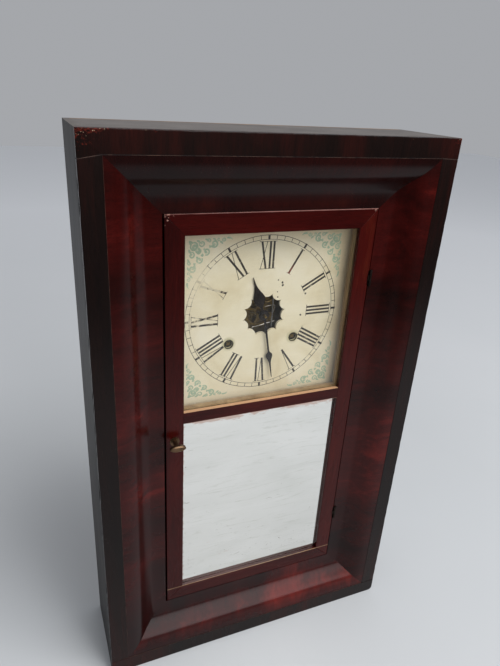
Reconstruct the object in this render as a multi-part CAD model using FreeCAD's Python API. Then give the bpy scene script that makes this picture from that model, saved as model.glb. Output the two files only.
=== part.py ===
"""American ogee weight clock: case, door, dial, two-train movement, weights, gong. Millimetres.

X right, Y into the wall, Z up; origin at the middle of the case's bottom face.
"""
import FreeCAD, Part
import math
import os

V = FreeCAD.Vector
UP, BACK = V(0, 0, 1), V(0, 1, 0)

# ---- case ----
CASE_H, CASE_W, CASE_D = 660.4, 393.7, 108.3
HALF_W = CASE_W / 2
FRONT, REAR = -CASE_D / 2, CASE_D / 2
BOARD = 12.7                    # side, top and bottom board thickness
BACK_T = 8.0                    # backboard thickness
REBATE = 6.35                   # depth of the rebates in the side boards
BAND_W, BAND_T = 20.8, 6.0      # flat outer band round the front
WORN_R = 6.0                    # rounding of the worn bottom right corner
OGEE_END, OGEE_BACK = 75.8, 38.0
OGEE_CURVE = [(20.8, 0.3), (30.5, 1.9), (39.4, 6.1), (48.3, 13.7), (56.6, 19.3), (61.0, 20.8)]
OGEE_EDGE_DEPTH = 22.4
IN_BACK = REAR - BACK_T         # front face of the backboard
HANG_Z, HANG_R = 625.0, 5.0
CHANNEL_IN, CHANNEL_OUT, CHANNEL_TOP = 104.0, 112.0, 590.0

# ---- door ----
DOOR_FRONT, DOOR_REAR = FRONT + OGEE_EDGE_DEPTH, FRONT + OGEE_BACK
DOOR_X0, DOOR_X1, DOOR_Z0, DOOR_Z1 = -118.9, 120.45, 76.2, 584.2
OPEN_X0, OPEN_X1, OPEN_Z0, OPEN_Z1 = -98.4, 100.4, 95.0, 562.4
MID_Z0, MID_Z1 = 347.2, 361.4
GLASS_FRONT = DOOR_FRONT + 5.0
GLASS_T, MIRROR_T = 2.0, 3.0
GLASS_REBATE, GLASS_LAP = 5.0, 4.0
HINGE_X, HINGE_Y, HINGE_ZS = 122.6, -32.6, (156.0, 504.0)
KNUCKLE_R, PIN_R, HINGE_LEN, LEAF_T, LEAF_REAR = 1.45, 0.7, 17.0, 1.2, -19.0
CAP_T = 1.2                     # heads of the hinge pins
KNOB_X, KNOB_Z = -109.0, 326.0

# ---- dial and hands ----
DIAL_Z, DIAL_HALF = 462.0, 111.0
DIAL_FRONT, DIAL_T = -11.3, 3.0
CUSP_R, LOBE_R, CUSP_TURN = 26.3, 21.6, 20.0
OPENING_X = 0.9                 # the lobed opening sits a little to the right of the hands
WIND_X, WIND_Z, WIND_HOLE_R = 40.6, 429.8, 4.8
HOUR_TURN, MINUTE_TURN = 341.0, 169.6       # degrees clockwise from XII
HAND_T = 0.8
HOUR_HAND_Y, MINUTE_HAND_Y = -13.1, -15.0
HOUR_SHAPE = [(5.5, 1.6), (10.0, 1.5), (12.5, 2.8), (15.5, 5.2), (19.0, 6.7), (22.5, 7.0), (26.0, 5.8),
              (30.0, 3.9), (34.0, 2.3), (38.0, 1.2), (43.0, 0.7), (48.5, 0.25)]
MINUTE_SHAPE = [(5.0, 1.4), (20.0, 1.2), (40.0, 1.0), (46.0, 1.0), (48.2, 1.7), (50.0, 3.6), (51.8, 4.2),
                (54.0, 3.9), (57.5, 2.4), (61.0, 1.3), (66.0, 0.9), (82.0, 0.3)]

# ---- movement ----
PLATE_X, PLATE_Z0, PLATE_Z1 = 70.0, 374.0, 552.0
FP0, FP1 = 6.0, 7.8             # front plate, front and back faces
BP0, BP1 = 38.0, 39.8           # back plate
PIVOT_R, PLAY = 0.9, 0.2
ARBOR_R = 1.5
WIND_ARBOR_R = 3.2
CLEAR = 0.16                    # gap kept between a tooth flank and a pin
PILLARS = [(-60.0, 381.0), (60.0, 381.0), (-62.0, 545.0), (62.0, 545.0)]
WINDOWS = [(-26, 26, 404, 434), (32, 58, 446, 530), (-60, -30, 442, 468), (-22, 4, 518, 540)]

GREAT_T, GREAT_PINS = 72, 12
CENTRE_T, THIRD_PINS, CENTRE_M = 80, 8, 0.8
THIRD_T, ESCAPE_PINS, THIRD_M = 72, 8, 0.7
PIN_T, WARN_PINS, PIN_M = 64, 8, 0.8
WARN_T, FLY_PINS, WARN_M = 56, 7, 0.7
COUNT_T, COUNT_PINS = 78, 6
CANNON_PINS, MINUTE_T, CANNON_M = 12, 36, 1.0
MINUTE_PINS, HOUR_T, HOUR_M = 10, 40, 0.96


def step(start, degrees, distance):
    """The point a distance away in the XZ plane, at an angle above +X."""
    a = math.radians(degrees)
    return start[0] + distance * math.cos(a), start[1] + distance * math.sin(a)


def heading(start, end):
    """Angle above +X of the line from one XZ point to another, in degrees."""
    return math.degrees(math.atan2(end[1] - start[1], end[0] - start[0]))


def spacing(module, teeth, pins):
    return module * (teeth + pins) / 2


CENTRE = (0.0, DIAL_Z)
TIME_DRUM = (WIND_X, WIND_Z)
STRIKE_DRUM = (-WIND_X, WIND_Z)
GREAT_M = 2 * math.dist(CENTRE, TIME_DRUM) / (GREAT_T + GREAT_PINS)
THIRD = step(CENTRE, 55.4, spacing(CENTRE_M, CENTRE_T, THIRD_PINS))
ESCAPE = step(THIRD, 102.4, spacing(THIRD_M, THIRD_T, ESCAPE_PINS))
VERGE = (ESCAPE[0], ESCAPE[1] + 24.05)
PIN_ARBOR = step(STRIKE_DRUM, 84.9, math.dist(CENTRE, TIME_DRUM))
WARN = step(PIN_ARBOR, 60.0, spacing(PIN_M, PIN_T, WARN_PINS))
FLY = step(WARN, 130.0, spacing(WARN_M, WARN_T, FLY_PINS))
COUNT = step(PIN_ARBOR, 20.0, spacing(PIN_M, COUNT_T, COUNT_PINS))
MINUTE_STUD = step(CENTRE, 225.0, spacing(CANNON_M, MINUTE_T, CANNON_PINS))
LEVER = (-58.0, 532.0)
HAMMER = (-6.0, 394.0)

# ---- weights, cords and pulleys ----
CORD_Y, CORD_R = 22.5, 1.0
DRUM_CORE, DRUM_FLANGE = 12.9, 17.0
DRUM_CORD, PULLEY_CORD = 14.0, 19.0         # radius of the cord's centre line
PULLEY = (129.0, 622.0)
WEIGHT_X, WEIGHT_R, WEIGHT_Z0, WEIGHT_Z1 = 148.0, 22.0, 13.2, 133.2
EYE_R, EYE_WIRE = 5.0, 1.4
EYE_Z = WEIGHT_Z1 + EYE_R + EYE_WIRE - 1.2
RATCHET_TEETH, RATCHET_TIP, RATCHET_ROOT = 16, 12.5, 9.8

# ---- pendulum, verge, gong, hammer ----
ROD_Y, ROD_R, BOB_Z, BOB_R, BOB_HALF_T = -5.0, 0.8, 294.0, 26.0, 4.5
ESCAPE_TEETH, ESCAPE_R = 40, 18.0
ESCAPE_Y0, ESCAPE_Y1 = -1.0, 0.2
GONG, GONG_Y, GONG_R, GONG_PITCH, GONG_WIRE = (46.0, 212.0), 33.0, 45.0, 8.0, 1.5
HAMMER_WIRE_Y = 27.0


# ---- solids ----
def box(x0, x1, y0, y1, z0, z1):
    return Part.makeBox(x1 - x0, y1 - y0, z1 - z0, V(x0, y0, z0))


def rod(at, r, y0, y1):
    """Cylinder along Y at an XZ point."""
    return Part.makeCylinder(r, y1 - y0, V(at[0], y0, at[1]), BACK)


def tube(at, outer, inner, y0, y1):
    return rod(at, outer, y0, y1).cut(rod(at, inner, y0 - 1, y1 + 1))


def plate(points, y0, y1):
    """Polygon of XZ points, extruded along Y."""
    wire = Part.makePolygon([V(x, y0, z) for x, z in points + points[:1]])
    return Part.Face(wire).extrude(V(0, y1 - y0, 0))


def turned(shape, at, clockwise):
    """Turn a shape about the Y line through an XZ point, clockwise seen from the front."""
    out = shape.copy()
    out.rotate(V(at[0], 0, at[1]), BACK, clockwise)
    return out


def mirrored(shape):
    return shape.mirror(V(0, 0, 0), V(1, 0, 0))


def joined(shapes):
    return shapes[0].multiFuse(shapes[1:]).removeSplitter()


def pipe(edges, r):
    """Round bar swept along tangent edges."""
    wire = Part.Wire(edges)
    first = wire.Edges[0]
    start = first.valueAt(first.FirstParameter)
    across = first.tangentAt(first.FirstParameter)
    ring = Part.Wire(Part.makeCircle(r, start, across))
    return wire.makePipeShell([ring], True, True)


def line_bar(a, b, r):
    return Part.makeCylinder(r, (b - a).Length, a, b - a)


def save(name, shape):
    shape.exportStep("parts/%s.step" % name)


# ---- wheels and lantern pinions ----
def flank_angle(pitch_r, ring_r, offset, radius):
    """Angle from the middle of a tooth space to the flank, where the flank reaches a radius."""
    turn = 0.001
    while True:
        px, pz = pitch_r + ring_r * (1 - math.cos(turn)), ring_r * math.sin(turn)
        gap = math.hypot(pitch_r - px, pz)
        x = px + offset * (pitch_r - px) / gap
        z = pz - offset * pz / gap
        if math.hypot(x, z) >= radius:
            return abs(math.atan2(z, x) - turn * ring_r / pitch_r)
        turn += 0.004


def pin_radius(module):
    return 0.56 * module


def toothed_disc(at, module, teeth, pins, toward, y0, y1):
    """Wheel blank whose tooth space faces an XZ direction, cut to clear a lantern pinion's pins."""
    pitch_r, ring_r = module * teeth / 2, module * pins / 2
    offset = pin_radius(module) + CLEAR
    tip, root = pitch_r + 0.85 * module, pitch_r - offset - 0.1
    low = offset / pitch_r
    high = flank_angle(pitch_r, ring_r, offset, tip)
    pitch = 2 * math.pi / teeth
    outline = []
    for i in range(teeth):
        base = math.radians(toward) + i * pitch
        for r, a in ((root, low), (pitch_r, low), (tip, high),
                     (tip, pitch - high), (pitch_r, pitch - low), (root, pitch - low)):
            outline.append((at[0] + r * math.cos(base + a), at[1] + r * math.sin(base + a)))
    return plate(outline, y0, y1)


def crossings(at, inner, outer, spokes, width, y0, y1, turn=0.0):
    """Cutter that leaves straight spokes in a wheel's web."""
    ring = tube(at, outer, inner, y0 - 1, y1 + 1)
    bars = [turned(box(at[0] - width / 2, at[0] + width / 2, y0 - 2, y1 + 2, at[1], at[1] + outer + 1),
                   at, turn + 360.0 * i / spokes) for i in range(spokes)]
    return ring.cut(bars)


def wheel(at, module, teeth, pins, toward, y0, y1, hub, spokes=4):
    """Crossed-out wheel; the rim is three modules deep below the teeth."""
    disc = toothed_disc(at, module, teeth, pins, toward, y0, y1)
    rim = module * teeth / 2 - 1.4 * module - 2.2
    return disc.cut(crossings(at, hub, rim, spokes, 0.09 * rim + 1.8, y0, y1, 17.0))


def lantern(at, module, pins, toward, y0, y1, collar=0.6, core=0.0):
    """Lantern pinion: two collars joined by pins, one pin facing an XZ direction."""
    ring_r = module * pins / 2
    outer = ring_r + pin_radius(module) + 0.4
    parts = [rod(at, outer, y0, y0 + collar), rod(at, outer, y1 - collar, y1)]
    for i in range(pins):
        where = step(at, toward + 360.0 * i / pins, ring_r)
        parts.append(rod(where, pin_radius(module), y0 + collar / 2, y1 - collar / 2))
    if core:
        parts.append(rod(at, core, y0, y1))
    return parts


def arbor(at, r, y0, y1, front=FP0, rear=BP1 + 0.4):
    """Arbor with a thinner pivot at each end."""
    return [rod(at, r, y0, y1), rod(at, PIVOT_R, front, y0 + 1), rod(at, PIVOT_R, y1 - 1, rear)]


# ---- case ----
def worn_corner():
    """What the wear has taken off the bottom right corner, through the whole depth."""
    block = box(HALF_W - WORN_R, HALF_W + 1, FRONT - 1, REAR + 1, -1, WORN_R)
    return block.cut(rod((HALF_W - WORN_R, WORN_R), WORN_R, FRONT - 2, REAR + 2))


def case_parts():
    side = box(HALF_W - BOARD, HALF_W, FRONT + BAND_T, REAR, 0, CASE_H)
    inner = HALF_W - BOARD
    for z0, z1 in ((0, BOARD), (CASE_H - BOARD, CASE_H)):
        side = side.cut(box(inner, inner + REBATE, FRONT, IN_BACK, z0, z1))
    side = side.cut(box(inner, inner + REBATE, IN_BACK, REAR, 0, CASE_H))
    save("case_side_right", side.cut(worn_corner()))
    save("case_side_left", mirrored(side))
    reach = inner + REBATE
    save("case_bottom", box(-reach, reach, FRONT + BAND_T, IN_BACK, 0, BOARD))
    save("case_top", box(-reach, reach, FRONT + BAND_T, IN_BACK, CASE_H - BOARD, CASE_H))
    back = box(-reach, reach, IN_BACK, REAR, 0, CASE_H)
    save("backboard", back.cut(rod((0, HANG_Z), HANG_R, IN_BACK - 1, REAR + 1)))
    channel = box(CHANNEL_IN, CHANNEL_OUT, DIAL_FRONT + DIAL_T, IN_BACK, BOARD, CHANNEL_TOP)
    save("weight_boards", Part.makeCompound([channel, mirrored(channel)]))


def ogee_bar(along, length):
    """Ogee moulding; along is 'z' for the right-hand stile and 'x' for the top rail."""
    def at(s, depth):
        y = FRONT + depth
        return V(HALF_W - s, y, 0) if along == "z" else V(-HALF_W, y, CASE_H - s)

    curve = Part.BSplineCurve()
    curve.interpolate([at(s, d) for s, d in OGEE_CURVE])
    flat = [at(*OGEE_CURVE[-1]), at(OGEE_END, OGEE_EDGE_DEPTH), at(OGEE_END, OGEE_BACK),
            at(BOARD, OGEE_BACK), at(BOARD, BAND_T), at(BAND_W, BAND_T), at(*OGEE_CURVE[0])]
    edges = [curve.toShape()] + [Part.makeLine(a, b) for a, b in zip(flat, flat[1:])]
    run = V(0, 0, length) if along == "z" else V(length, 0, 0)
    return Part.Face(Part.Wire(edges)).extrude(run)


def mitre(kind):
    """Prism that trims a right-hand stile or a top rail to 45 degrees at both ends."""
    d = 100.0
    x, z = HALF_W, CASE_H
    if kind == "z":
        points = [(x, 0), (x, z), (x - d, z - d), (x - d, d)]
    else:
        points = [(-x, z), (x, z), (x - d, z - d), (-x + d, z - d)]
    return plate(points, FRONT - 5, REAR)


def flipped(shape):
    """Top rail to bottom rail."""
    return shape.mirror(V(0, 0, CASE_H / 2), UP)


def front_parts():
    edge = HALF_W - OGEE_END
    pockets = []
    for z in HINGE_ZS:
        low, high = z - HINGE_LEN / 2, z + HINGE_LEN / 2
        pockets.append(box(edge - 1, edge + LEAF_T, FRONT, LEAF_REAR, low, high))
        pockets.append(box(edge - 1, HINGE_X + KNUCKLE_R + 0.45, FRONT, HINGE_Y + KNUCKLE_R + 0.3,
                           low - CAP_T - 0.3, high + CAP_T + 0.3))
    stile = ogee_bar("z", CASE_H).common(mitre("z"))
    save("ogee_stiles", Part.makeCompound([stile.cut(pockets), mirrored(stile)]))
    rail = ogee_bar("x", CASE_W).common(mitre("x"))
    save("ogee_rails", Part.makeCompound([rail, flipped(rail)]))
    upright = box(HALF_W - BAND_W, HALF_W, FRONT, FRONT + BAND_T, BAND_W, CASE_H - BAND_W)
    level = box(-HALF_W, HALF_W, FRONT, FRONT + BAND_T, CASE_H - BAND_W, CASE_H)
    save("face_bands", Part.makeCompound([upright, mirrored(upright), level, flipped(level).cut(worn_corner())]))


# ---- door ----
def door_parts():
    ys = (DOOR_FRONT, DOOR_REAR)
    panes = [(MID_Z1, OPEN_Z1, GLASS_T), (OPEN_Z0, MID_Z0, MIRROR_T)]
    grooves = [box(OPEN_X0 - GLASS_REBATE, OPEN_X1 + GLASS_REBATE, GLASS_FRONT, DOOR_REAR + 1,
                   a - GLASS_REBATE, b + GLASS_REBATE) for a, b, _ in panes]
    frame = box(DOOR_X0, DOOR_X1, *ys, DOOR_Z0, DOOR_Z1)
    frame = frame.cut([box(OPEN_X0, OPEN_X1, FRONT, REAR, OPEN_Z0, OPEN_Z1)] + grooves)
    outer = [(DOOR_X0, DOOR_Z0), (DOOR_X1, DOOR_Z0), (DOOR_X1, DOOR_Z1), (DOOR_X0, DOOR_Z1)]
    inner = [(OPEN_X0, OPEN_Z0), (OPEN_X1, OPEN_Z0), (OPEN_X1, OPEN_Z1), (OPEN_X0, OPEN_Z1)]
    members = []
    for i in range(4):
        j = (i + 1) % 4
        members.append(frame.common(plate([outer[i], outer[j], inner[j], inner[i]], *ys)))
    mortises = [box(DOOR_X1 - LEAF_T, DOOR_X1 + 1, FRONT, LEAF_REAR, z - HINGE_LEN / 2, z + HINGE_LEN / 2)
                for z in HINGE_ZS]
    hole = rod((KNOB_X, KNOB_Z), 2.6, DOOR_FRONT - 1, DOOR_REAR + 1)
    save("door_bottom_rail", members[0])
    save("door_stile_right", members[1].cut(mortises))
    save("door_top_rail", members[2])
    save("door_stile_left", members[3].cut(hole))
    save("door_mid_rail", box(OPEN_X0, OPEN_X1, *ys, MID_Z0, MID_Z1).cut(grooves))
    beads = []
    for name, (a, b, thick) in zip(("dial_glass", "mirror_glass"), panes):
        save(name, box(OPEN_X0 - GLASS_LAP, OPEN_X1 + GLASS_LAP, GLASS_FRONT, GLASS_FRONT + thick,
                       a - GLASS_LAP, b + GLASS_LAP))
        behind = (GLASS_FRONT + thick, DOOR_REAR)
        for x0, x1 in ((OPEN_X0 - GLASS_REBATE, OPEN_X0), (OPEN_X1, OPEN_X1 + GLASS_REBATE)):
            beads.append(box(x0, x1, *behind, a - GLASS_REBATE, b + GLASS_REBATE))
        for z0, z1 in ((a - GLASS_REBATE, a), (b, b + GLASS_REBATE)):
            beads.append(box(OPEN_X0, OPEN_X1, *behind, z0, z1))
    save("glass_beads", Part.makeCompound(beads))


def knuckle(z0, z1, leaf_x0, leaf_x1):
    """One hinge knuckle with the neck that joins it to a leaf."""
    ring = Part.makeCylinder(KNUCKLE_R, z1 - z0, V(HINGE_X, HINGE_Y, z0))
    neck = box(leaf_x0, HINGE_X, HINGE_Y, HINGE_Y + LEAF_T, z0, z1)
    root = box(leaf_x0, leaf_x1, HINGE_Y, DOOR_FRONT + 1, z0, z1)
    bore = Part.makeCylinder(PIN_R + PLAY, z1 - z0 + 2, V(HINGE_X, HINGE_Y, z0 - 1))
    return ring.fuse([neck, root]).cut(bore)


def hinge_parts():
    case_leaves, door_leaves = [], []
    third = HINGE_LEN / 3
    case_x = (HALF_W - OGEE_END, HALF_W - OGEE_END + LEAF_T)
    door_x = (DOOR_X1 - LEAF_T, DOOR_X1)
    for z in HINGE_ZS:
        low, high = z - HINGE_LEN / 2, z + HINGE_LEN / 2
        pin = Part.makeCylinder(PIN_R, HINGE_LEN + 2 * CAP_T, V(HINGE_X, HINGE_Y, low - CAP_T))
        caps = [Part.makeCylinder(KNUCKLE_R, CAP_T, V(HINGE_X, HINGE_Y, h)) for h in (low - CAP_T, high)]
        case_leaf = box(*case_x, DOOR_FRONT + 0.7, LEAF_REAR, low, high)
        case_leaves.append(joined([case_leaf, pin, knuckle(low, low + third - 0.2, *case_x),
                                   knuckle(high - third + 0.2, high, *case_x)] + caps))
        door_leaves.append(joined([box(*door_x, DOOR_FRONT, LEAF_REAR, low, high),
                                   knuckle(low + third, high - third, *door_x)]))
    save("case_hinge_leaves", Part.makeCompound(case_leaves))
    save("door_hinge_leaves", Part.makeCompound(door_leaves))


def latch_parts():
    at = (KNOB_X, KNOB_Z)
    save("latch_escutcheon", tube(at, 5.6, 3.3, DOOR_FRONT - 0.8, DOOR_FRONT))
    tip = V(KNOB_X, DOOR_FRONT - 17.0, KNOB_Z)
    face = Part.Face(Part.Wire(Part.Ellipse(tip, 9.0, 3.8).toShape()))
    face.rotate(tip, V(1, 0, 0), 90)
    grip = face.extrude(V(0, 5.6, 0))
    grip = grip.makeChamfer(1.2, grip.Edges[1:])
    collar = rod(at, 4.4, DOOR_FRONT - 2.2, DOOR_FRONT - 1.0)
    spindle = [rod(at, 2.8, DOOR_FRONT - 13.0, DOOR_FRONT - 1.0), rod(at, 2.4, DOOR_FRONT - 2, -13.35)]
    hook = plate([(KNOB_X - 3.5, KNOB_Z + 3.5), (KNOB_X + 3.5, KNOB_Z + 3.5),
                  (KNOB_X + 3.5, KNOB_Z - 20), (KNOB_X - 1.5, KNOB_Z - 22)], -15.35, -13.35)
    save("latch_knob", joined([grip, collar, hook] + spindle))
    save("door_catch", box(-136.0, -121.3, DOOR_REAR, DOOR_REAR + 0.5, KNOB_Z - 9, KNOB_Z + 9))


# ---- dial and hands ----
def dial_panel():
    panel = box(-DIAL_HALF, DIAL_HALF, DIAL_FRONT, DIAL_FRONT + DIAL_T,
                DIAL_Z - DIAL_HALF, DIAL_Z + DIAL_HALF)

    def at(turn, r):
        x, z = step((OPENING_X, DIAL_Z), 90 - turn, r)
        return V(x, DIAL_FRONT - 1, z)

    arcs = []
    for i in range(12):
        a = CUSP_TURN + 30 * i
        arcs.append(Part.Arc(at(a, CUSP_R), at(a + 15, LOBE_R), at(a + 30, CUSP_R)).toShape())
    opening = Part.Face(Part.Wire(arcs)).extrude(V(0, DIAL_T + 2, 0))
    holes = [rod(p, WIND_HOLE_R, DIAL_FRONT - 1, DIAL_FRONT + DIAL_T + 1) for p in (TIME_DRUM, STRIKE_DRUM)]
    save("dial_panel", panel.cut([opening] + holes))


def hand(shape, hub, bore, y, turn):
    outline = [(w, DIAL_Z + r) for r, w in shape] + [(-w, DIAL_Z + r) for r, w in reversed(shape)]
    blade = plate(outline, y, y + HAND_T)
    whole = blade.fuse(rod(CENTRE, hub, y, y + HAND_T)).removeSplitter()
    return turned(whole.cut(rod(CENTRE, bore, y - 1, y + 2)), CENTRE, turn)


def motion_work():
    save("minute_hand", hand(MINUTE_SHAPE, 5.2, 2.0, MINUTE_HAND_Y, MINUTE_TURN))
    save("hour_hand", hand(HOUR_SHAPE, 6.2, 3.05, HOUR_HAND_Y, HOUR_TURN))
    to_stud = heading(CENTRE, MINUTE_STUD)
    cannon = joined([rod(CENTRE, 2.35, MINUTE_HAND_Y + HAND_T, 5.6), rod(CENTRE, 1.95, MINUTE_HAND_Y - 0.3, 0)]
                    + lantern(CENTRE, CANNON_M, CANNON_PINS, to_stud, 2.9, 5.6, 0.5))
    save("cannon_pinion", cannon.cut(rod(CENTRE, 1.6, -30, 10)))
    hour_tip = HOUR_HAND_Y + HAND_T
    blank = wheel(CENTRE, HOUR_M, HOUR_T, MINUTE_PINS, to_stud, 0.8, 1.8, 6.0)
    hour = joined([blank, rod(CENTRE, 3.4, hour_tip, 1.8), rod(CENTRE, 3.0, HOUR_HAND_Y - 0.3, 0)])
    save("hour_wheel", hour.cut(rod(CENTRE, 2.55, -30, 10)))
    back = heading(MINUTE_STUD, CENTRE)
    disc = wheel(MINUTE_STUD, CANNON_M, MINUTE_T, CANNON_PINS, back, 3.8, 4.8, 5.0)
    pinion = lantern(MINUTE_STUD, HOUR_M, MINUTE_PINS, back, -0.2, 3.2, 0.6, core=2.3)
    minute = joined([disc, rod(MINUTE_STUD, 2.3, -0.2, 5.6)] + pinion)
    save("minute_wheel", minute.cut(rod(MINUTE_STUD, 1.4, -5, 8)))


# ---- movement frame ----
def thin_plate(y0, y1, holes):
    """Plate with rounded corners, windows, tenon holes and pivot holes."""
    blank = box(-PLATE_X, PLATE_X, y0, y1, PLATE_Z0, PLATE_Z1)
    corners = [e for e in blank.Edges if abs(e.tangentAt(e.FirstParameter).y) > 0.9]
    cutters = [box(a, b, y0 - 1, y1 + 1, c, d) for a, b, c, d in WINDOWS]
    cutters += [rod(p, 2.6, y0 - 1, y1 + 1) for p in PILLARS]
    pivots = [(p, PIVOT_R) for p in (THIRD, ESCAPE, WARN, FLY, HAMMER)] + holes
    cutters += [rod(p, r + PLAY, y0 - 1, y1 + 1) for p, r in pivots]
    return blank.makeFillet(6.0, corners).cut(cutters)


def movement_frame():
    front = thin_plate(FP0, FP1, [(CENTRE, 1.4), (TIME_DRUM, WIND_ARBOR_R), (STRIKE_DRUM, WIND_ARBOR_R),
                                  (PIN_ARBOR, PIVOT_R), (LEVER, PIVOT_R)])
    save("front_plate", joined([front, rod(MINUTE_STUD, 1.2, -0.8, FP0 + 1)]))
    back = thin_plate(BP0, BP1, [(CENTRE, PIVOT_R), (TIME_DRUM, ARBOR_R), (STRIKE_DRUM, ARBOR_R),
                                 (PIN_ARBOR, ARBOR_R), (LEVER, 1.2)])
    save("back_plate", joined([back, rod(COUNT, 1.6, BP1 - 1, 44.0)]))
    posts = []
    for p in PILLARS:
        posts.append(joined([rod(p, 4.0, FP1, BP0), rod(p, 2.5, FP0 - 1.2, BP1 + 1),
                             rod(p, 4.0, BP1, IN_BACK)]))
    save("plate_pillars", Part.makeCompound(posts))


# ---- going train ----
def great_wheel(at, pinion_at, y0, y1, click_turn, click_side):
    """Great wheel with a broad hub that carries the click stud on one face."""
    disc = wheel(at, GREAT_M, GREAT_T, GREAT_PINS, heading(at, pinion_at), y0, y1, 25.0, spokes=5)
    stud_at = step(at, click_turn, CLICK_PIVOT_R)
    ys = (y0, y1 + 1.9) if click_side > 0 else (y0 - 1.9, y1)
    disc = disc.fuse(rod(stud_at, CLICK_STUD, *ys)).removeSplitter()
    return disc.cut(rod(at, WIND_ARBOR_R + 0.16, y0 - 3, y1 + 3))


CLICK_PIVOT_R, CLICK_STUD, CLICK_LEAD = 20.0, 1.2, 42.0
CLICK_TIP_DEG, CLICK_TIP_R = (6.0, 11.5), 12.75


def ratchet(at, y0, y1):
    """Saw-toothed ratchet whose steep faces look counter-clockwise; one steep face at 0 degrees."""
    outline = []
    for i in range(RATCHET_TEETH):
        a = 360.0 * i / RATCHET_TEETH
        outline.append(step(at, a, RATCHET_TIP))
        outline.append(step(at, a, RATCHET_ROOT))
    return plate(outline, y0, y1)


def click(at, y0, y1):
    """Click at rest just off the ratchet's tips, its pivot ahead of its tip."""
    pivot = step(at, CLICK_LEAD, CLICK_PIVOT_R)
    a, b = CLICK_TIP_DEG
    outline = [step(at, a, CLICK_TIP_R), step(at, a + 2, CLICK_TIP_R + 3.2),
               step(at, CLICK_LEAD, CLICK_PIVOT_R + 2.6), step(at, CLICK_LEAD + 6, CLICK_PIVOT_R - 0.6),
               step(at, CLICK_LEAD, CLICK_PIVOT_R - 2.6), step(at, b, CLICK_TIP_R)]
    body = plate(outline, y0, y1).fuse(rod(pivot, 2.7, y0, y1)).removeSplitter()
    return body.cut(rod(pivot, CLICK_STUD + PLAY, y0 - 1, y1 + 1))


def drum(at, ratchet_ys, flange_ys):
    """Cord drum, ratchet and winding arbor with its square front end."""
    f0, f1 = flange_ys
    core = [rod(at, DRUM_CORE, f0, f1), rod(at, DRUM_FLANGE, f0, f0 + 1.5), rod(at, DRUM_FLANGE, f1 - 1.5, f1)]
    bars = [rod(at, WIND_ARBOR_R, 2.0, BP0 - 0.4), rod(at, ARBOR_R, BP0 - 1, BP1 + 0.4)]
    half = 2.25
    square = box(at[0] - half, at[0] + half, -9.0, 3.0, at[1] - half, at[1] + half)
    neck = rod(at, 7.0, min(ratchet_ys[0], f0), max(ratchet_ys[1], f1))
    return joined(core + bars + [square, neck, ratchet(at, *ratchet_ys)])


def going_train():
    save("time_great_wheel", great_wheel(TIME_DRUM, CENTRE, 9.5, 11.0, CLICK_LEAD, 1))
    save("time_click", click(TIME_DRUM, 11.4, 12.8))
    save("time_drum", drum(TIME_DRUM, (11.5, 13.0), (13.5, 33.0)))
    centre = [wheel(CENTRE, CENTRE_M, CENTRE_T, THIRD_PINS, heading(CENTRE, THIRD), 20.0, 21.2, 7.0)]
    centre += lantern(CENTRE, GREAT_M, GREAT_PINS, heading(CENTRE, TIME_DRUM), 8.2, 12.3)
    centre += [rod(CENTRE, ARBOR_R + 0.8, 8.2, 24.0), rod(CENTRE, ARBOR_R, 8.0, BP0 - 0.4),
               rod(CENTRE, 1.4, -19.0, 9.0), rod(CENTRE, PIVOT_R, BP0 - 1, BP1 + 0.4)]
    save("centre_wheel", joined(centre))
    third = [wheel(THIRD, THIRD_M, THIRD_T, ESCAPE_PINS, heading(THIRD, ESCAPE), 28.0, 29.0, 5.0)]
    third += lantern(THIRD, CENTRE_M, THIRD_PINS, heading(THIRD, CENTRE), 18.8, 22.4)
    third += arbor(THIRD, ARBOR_R, FP1 + 0.3, BP0 - 0.3)
    save("third_wheel", joined(third))
    outline = []
    for i in range(ESCAPE_TEETH):
        a = 360.0 * i / ESCAPE_TEETH
        outline.append(step(ESCAPE, a, ESCAPE_R))
        outline.append(step(ESCAPE, a + 1.2, ESCAPE_R))
        outline.append(step(ESCAPE, a + 4.0, ESCAPE_R - 2.4))
        outline.append(step(ESCAPE, a + 7.4, ESCAPE_R - 2.4))
    rim = plate(outline, ESCAPE_Y0, ESCAPE_Y1)
    rim = rim.cut(crossings(ESCAPE, 4.0, 13.0, 4, 2.4, ESCAPE_Y0, ESCAPE_Y1))
    escape = [rim, rod(ESCAPE, 2.4, ESCAPE_Y0 - 0.6, 2.6), rod(ESCAPE, PIVOT_R, -2.0, FP1 + 1)]
    escape += lantern(ESCAPE, THIRD_M, ESCAPE_PINS, heading(ESCAPE, THIRD), 26.7, 30.3)
    escape += arbor(ESCAPE, ARBOR_R, FP1 + 0.3, BP0 - 0.3, front=FP0 - 4)
    save("escape_wheel", joined(escape))


def arc_strip(centre, r0, r1, turn0, turn1, y0, y1):
    """Flat arc strip; turns are degrees clockwise from straight up."""
    def at(turn, r):
        x, z = step(centre, 90 - turn, r)
        return V(x, y0, z)

    mid = (turn0 + turn1) / 2
    edges = [Part.Arc(at(turn0, r1), at(mid, r1), at(turn1, r1)).toShape(),
             Part.makeLine(at(turn1, r1), at(turn1, r0)),
             Part.Arc(at(turn1, r0), at(mid, r0), at(turn0, r0)).toShape(),
             Part.makeLine(at(turn0, r0), at(turn0, r1))]
    return Part.Face(Part.Wire(edges)).extrude(V(0, y1 - y0, 0))


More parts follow.
